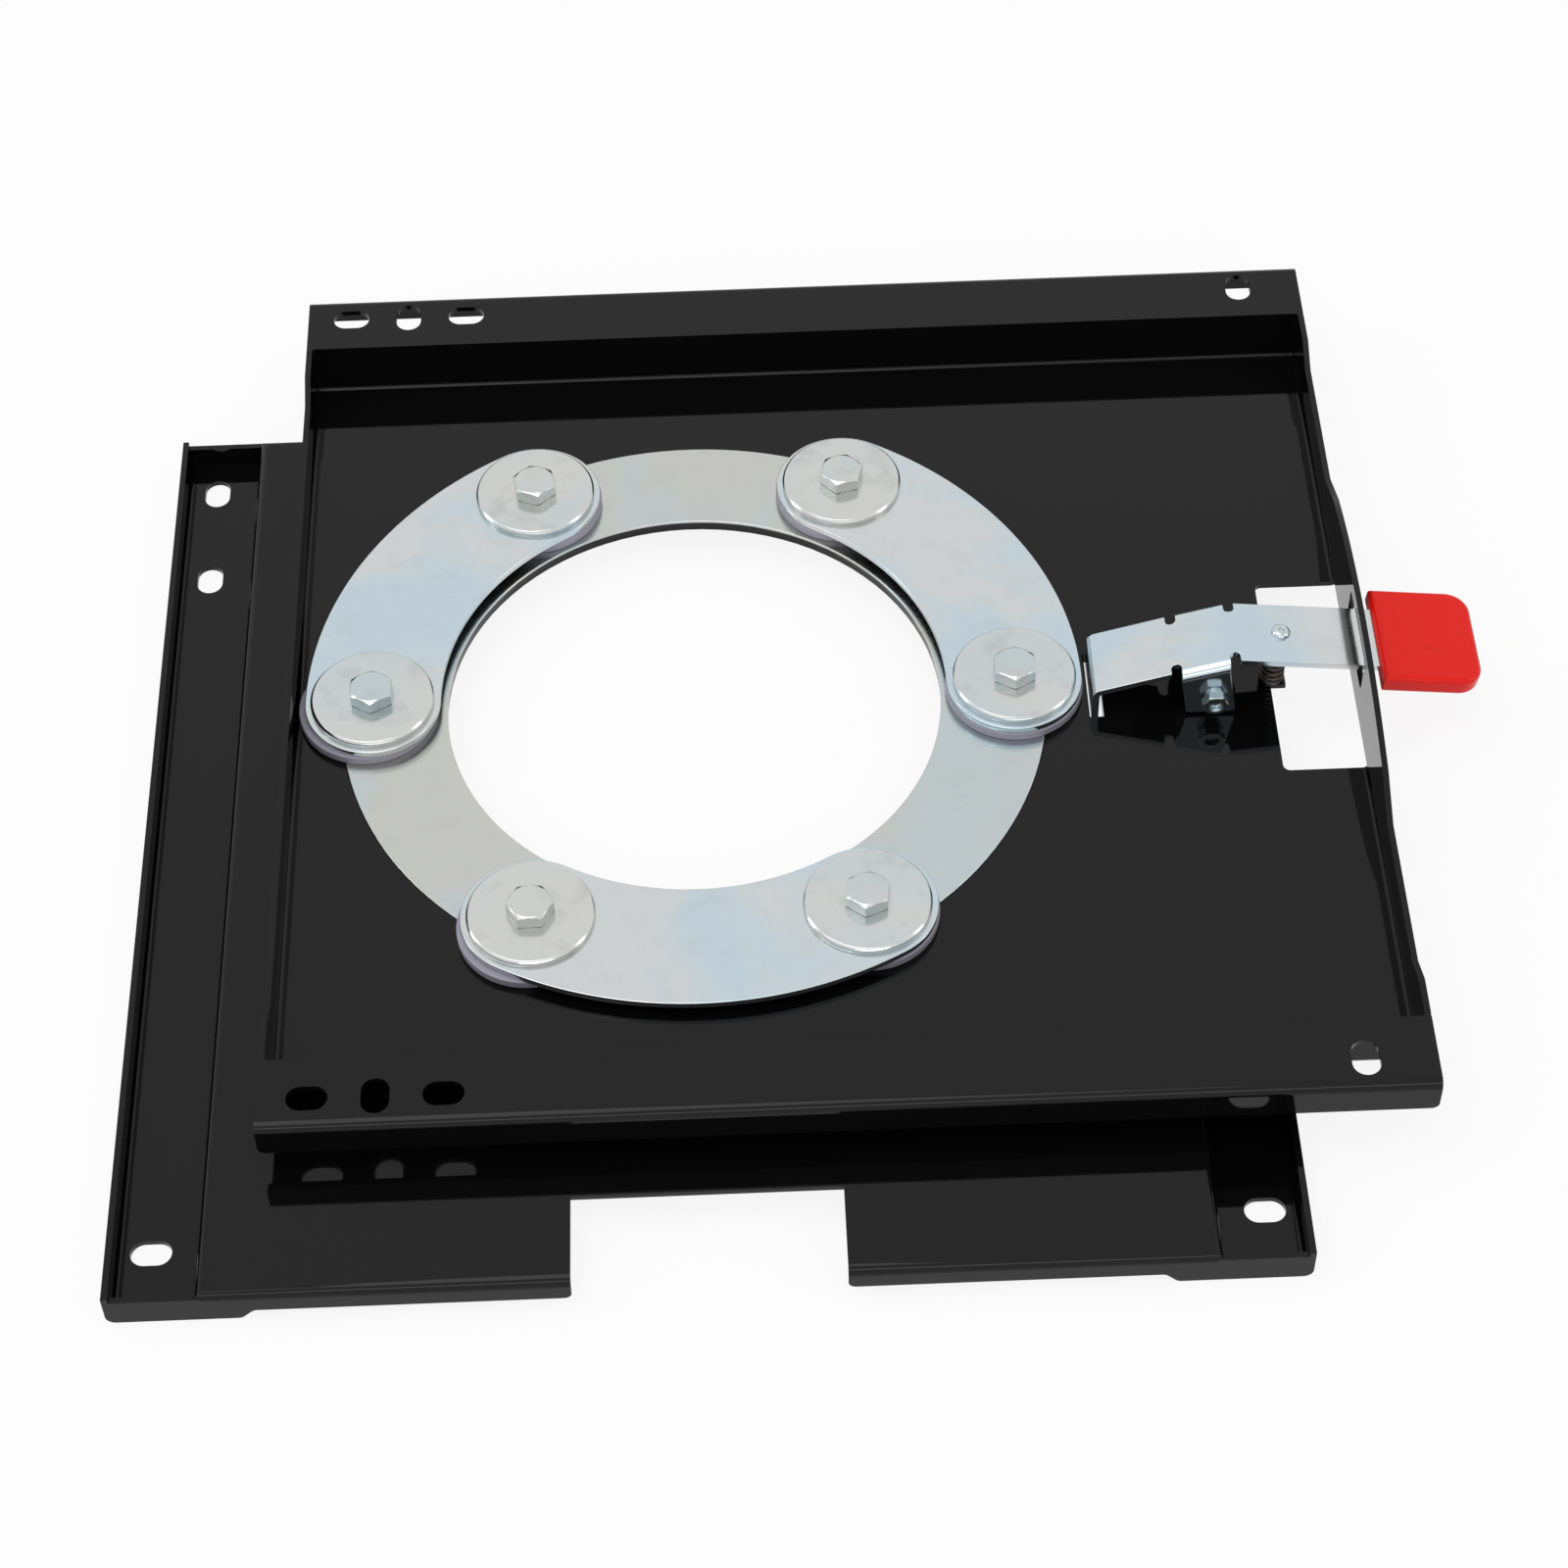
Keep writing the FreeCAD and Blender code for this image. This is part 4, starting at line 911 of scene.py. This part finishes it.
def make_spring_tree():
    """Wind a wire up from a flat first turn to a flat last one."""
    tree, values = start_tree(
        "wound_spring", "Radius", "Wire radius", "Height", "Turns", "X", "Y", "Z"
    )
    line = add_node(tree, "GeometryNodeMeshLine", {"Count": WIRE_POINTS + 1}, mode="OFFSET")
    curve = add_node(tree, "GeometryNodeMeshToCurve", {"Mesh": line.outputs["Mesh"]})
    values["index"] = add_node(tree, "GeometryNodeInputIndex").outputs["Index"]
    # The closed turns rise by one wire each, and the open turns share what is left.
    work_out(
        tree,
        values,
        ("part", "DIVIDE", "index", float(WIRE_POINTS)),
        ("turn", "MULTIPLY", "part", "Turns"),
        ("angle", "MULTIPLY", "turn", 2 * math.pi),
        ("wire", "MULTIPLY", "Wire radius", 2.0),
        ("of first", "MINIMUM", "turn", 1.0),
        ("first rise", "MULTIPLY", "of first", "wire"),
        ("to go", "SUBTRACT", "Turns", "turn"),
        ("to go in last", "MINIMUM", "to go", 1.0),
        ("of last", "SUBTRACT", 1.0, "to go in last"),
        ("last rise", "MULTIPLY", "of last", "wire"),
        ("open turns", "SUBTRACT", "Turns", 2.0),
        ("past first", "SUBTRACT", "turn", 1.0),
        ("open part", "DIVIDE", "past first", "open turns"),
        ("from none", "MAXIMUM", "open part", 0.0),
        ("to all", "MINIMUM", "from none", 1.0),
        ("end wires", "MULTIPLY", "wire", 3.0),
        ("open height", "SUBTRACT", "Height", "end wires"),
        ("end rise", "ADD", "first rise", "last rise"),
        ("rise", "MULTIPLY_ADD", "to all", "open height", "end rise"),
        ("wire middle", "ADD", "rise", "Wire radius"),
        ("cosine", "COSINE", "angle"),
        ("sine", "SINE", "angle"),
        ("x", "MULTIPLY_ADD", "cosine", "Radius", "X"),
        ("y", "MULTIPLY_ADD", "sine", "Radius", "Y"),
        ("z", "ADD", "wire middle", "Z"),
    )
    spot = add_node(tree, "ShaderNodeCombineXYZ", {axis.upper(): values[axis] for axis in "xyz"})
    wound = add_node(
        tree,
        "GeometryNodeSetPosition",
        {"Geometry": curve.outputs["Curve"], "Position": spot.outputs["Vector"]},
    )
    section = add_node(
        tree,
        "GeometryNodeCurvePrimitiveCircle",
        {"Resolution": WIRE_SIDES, "Radius": values["Wire radius"]},
        mode="RADIUS",
    )
    tube = add_node(
        tree,
        "GeometryNodeCurveToMesh",
        {
            "Curve": wound.outputs["Geometry"],
            "Profile Curve": section.outputs["Curve"],
            "Fill Caps": True,
        },
    )
    return end_tree(tree, tube.outputs["Mesh"], values["Finish"])


# %% The spring in its place
WIRE_RADIUS = 0.65 * MM
spring_low, spring_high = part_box("return_spring")
spring_axis = (spring_low + spring_high) / 2
spring = run_tree(
    "return_spring_coil",
    make_spring_tree(),
    nothing,
    Radius=(spring_high.y - spring_low.y) / 2 - WIRE_RADIUS,
    Wire_radius=WIRE_RADIUS,
    Height=spring_high.z - spring_low.z,
    Turns=9.0,
    X=spring_axis.x,
    Y=spring_axis.y,
    Z=spring_low.z,
    Finish=spring_steel,
)
turn_outward(spring)
soften(spring)
hand_over(spring, spring_steel, None, "spring_steel", "return_spring")
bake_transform(spring)

# %% [markdown]
# ## Floor, light and camera
#
# The part stands on a white floor in a white room. The floor and the room show themselves to the
# camera and to mirrors as white paper does, but light the part only as much as real ones would, so
# the part keeps its shadow and the colours stay as they are written. The Light Path node tells the
# two kinds of ray apart. One broad soft lamp stands overhead and three narrow ones at the sides and
# in front draw the bright lines along the sheet edges.

# %% The floor
FLOOR_HALF = 6.0
FLOOR_HEIGHT = -0.15 * MM
FLOOR_GLOW = 0.88
PAPER = (0.92, 0.92, 0.92, 1.0)
WHITE = (1.0, 1.0, 1.0, 1.0)


def seen_directly(tree):
    """1 for a ray from the camera, a mirror or a clear thing, and 0 for one that only lights."""
    values = {ray.name: ray for ray in add_node(tree, "ShaderNodeLightPath").outputs}
    work_out(
        tree,
        values,
        ("seen", "MAXIMUM", "Is Camera Ray", "Is Glossy Ray"),
        ("seen", "MAXIMUM", "seen", "Is Transmission Ray"),
    )
    return values["seen"]


def make_floor_finish():
    """White paper that stays white in the camera and in reflections."""
    finish = bpy.data.materials.new("white_paper")
    finish.use_nodes = True
    tree = finish.node_tree
    tree.nodes.clear()
    paper = add_node(tree, "ShaderNodeBsdfDiffuse", {"Color": PAPER})
    shine = add_node(tree, "ShaderNodeEmission", {"Color": WHITE, "Strength": 1.0})
    values = {"seen": seen_directly(tree)}
    work_out(tree, values, ("glow", "MULTIPLY", "seen", FLOOR_GLOW))
    top = add_node(
        tree,
        "ShaderNodeMixShader",
        {"Fac": values["glow"], 1: paper.outputs["BSDF"], 2: shine.outputs["Emission"]},
    )
    clear = add_node(tree, "ShaderNodeBsdfTransparent")
    from_below = add_node(tree, "ShaderNodeNewGeometry").outputs["Backfacing"]
    one_sided = add_node(
        tree,
        "ShaderNodeMixShader",
        {"Fac": from_below, 1: top.outputs["Shader"], 2: clear.outputs["BSDF"]},
    )
    add_node(tree, "ShaderNodeOutputMaterial", {"Surface": one_sided.outputs["Shader"]})
    return finish


signs = ((-1, -1), (1, -1), (1, 1), (-1, 1))
corners = [(x * FLOOR_HALF, y * FLOOR_HALF, FLOOR_HEIGHT) for x, y in signs]
floor_mesh = bpy.data.meshes.new("floor")
floor_mesh.from_pydata(corners, [], [(0, 1, 2, 3)])
floor_mesh.materials.append(make_floor_finish())
floor = bpy.data.objects.new("floor", floor_mesh)
bpy.context.scene.collection.objects.link(floor)
print("floor:", floor.name, "side in m:", 2 * FLOOR_HALF)

# %% The room's light
ROOM_LIGHT = 0.6


def make_room():
    """White to the camera and to mirrors, softer as a light on the part."""
    world = bpy.data.worlds.new("white_room")
    world.use_nodes = True
    tree = world.node_tree
    tree.nodes.clear()
    strength = add_node(
        tree,
        "ShaderNodeMapRange",
        {"Value": seen_directly(tree), "To Min": ROOM_LIGHT, "To Max": 1.0},
    )
    sky = add_node(
        tree,
        "ShaderNodeBackground",
        {"Color": WHITE, "Strength": strength.outputs["Result"]},
    )
    add_node(tree, "ShaderNodeOutputWorld", {"Surface": sky.outputs["Background"]})
    return world


def add_lamp(name, place, size, watts):
    """Hang a soft rectangular lamp that faces the middle of the part."""
    data = bpy.data.lights.new(name, "AREA")
    data.shape = "RECTANGLE"
    data.size, data.size_y = size
    data.energy = watts
    lamp = bpy.data.objects.new(name, data)
    bpy.context.scene.collection.objects.link(lamp)
    lamp.location = place
    lamp.rotation_mode = "QUATERNION"
    lamp.rotation_quaternion = (-Vector(place)).to_track_quat("-Z", "Y")
    return lamp


bpy.context.scene.world = make_room()
add_lamp("overhead_lamp", (-0.5, -0.3, 2.2), size=(1.6, 1.6), watts=14.0)
add_lamp("left_strip", (-2.0, 0.2, 0.9), size=(0.5, 1.6), watts=6.0)
add_lamp("right_strip", (2.0, -0.4, 0.9), size=(0.5, 1.6), watts=4.0)
add_lamp("front_strip", (0.2, -2.4, 1.5), size=(2.2, 0.3), watts=7.0)

# %% [markdown]
# ## The camera
#
# The camera's place was worked out from the photograph's straight edges and from the six bolts on
# their circle: a long lens, 1.53 m away, looking down at about 50 degrees and leaning by one and a
# half. Blender's camera looks along its own -Z, so its axes are put together from the direction to
# the target and then turned by the lean.

# %% Place the camera
SENSOR_WIDTH, LENS_LENGTH = 36.0, 83.72  # millimetres
AIM = Vector((36.46, -32.2, 0.0)) * MM
DISTANCE = 1533.9 * MM
AZIMUTH = math.radians(-0.883)
ELEVATION = math.radians(50.482)
LEAN = math.radians(-1.481)

flat_reach = math.cos(ELEVATION)
back = Vector(
    (math.sin(AZIMUTH) * flat_reach, -math.cos(AZIMUTH) * flat_reach, math.sin(ELEVATION))
)
level = (-back).cross(Vector((0.0, 0.0, 1.0))).normalized()
upright = level.cross(-back)
right = level * math.cos(LEAN) + upright * math.sin(LEAN)
up = upright * math.cos(LEAN) - level * math.sin(LEAN)
lens = bpy.data.cameras.new("photo_camera")
lens.sensor_width = SENSOR_WIDTH
lens.lens = LENS_LENGTH
lens.clip_start = 0.05
lens.clip_end = 50.0
camera = bpy.data.objects.new("photo_camera", lens)
bpy.context.scene.collection.objects.link(camera)
axes = Matrix((right, up, back)).transposed()
camera.matrix_world = Matrix.Translation(AIM + back * DISTANCE) @ axes.to_4x4()
bpy.context.scene.camera = camera
bpy.context.scene.view_settings.view_transform = "Standard"
print("camera at:", [round(v, 4) for v in camera.location])
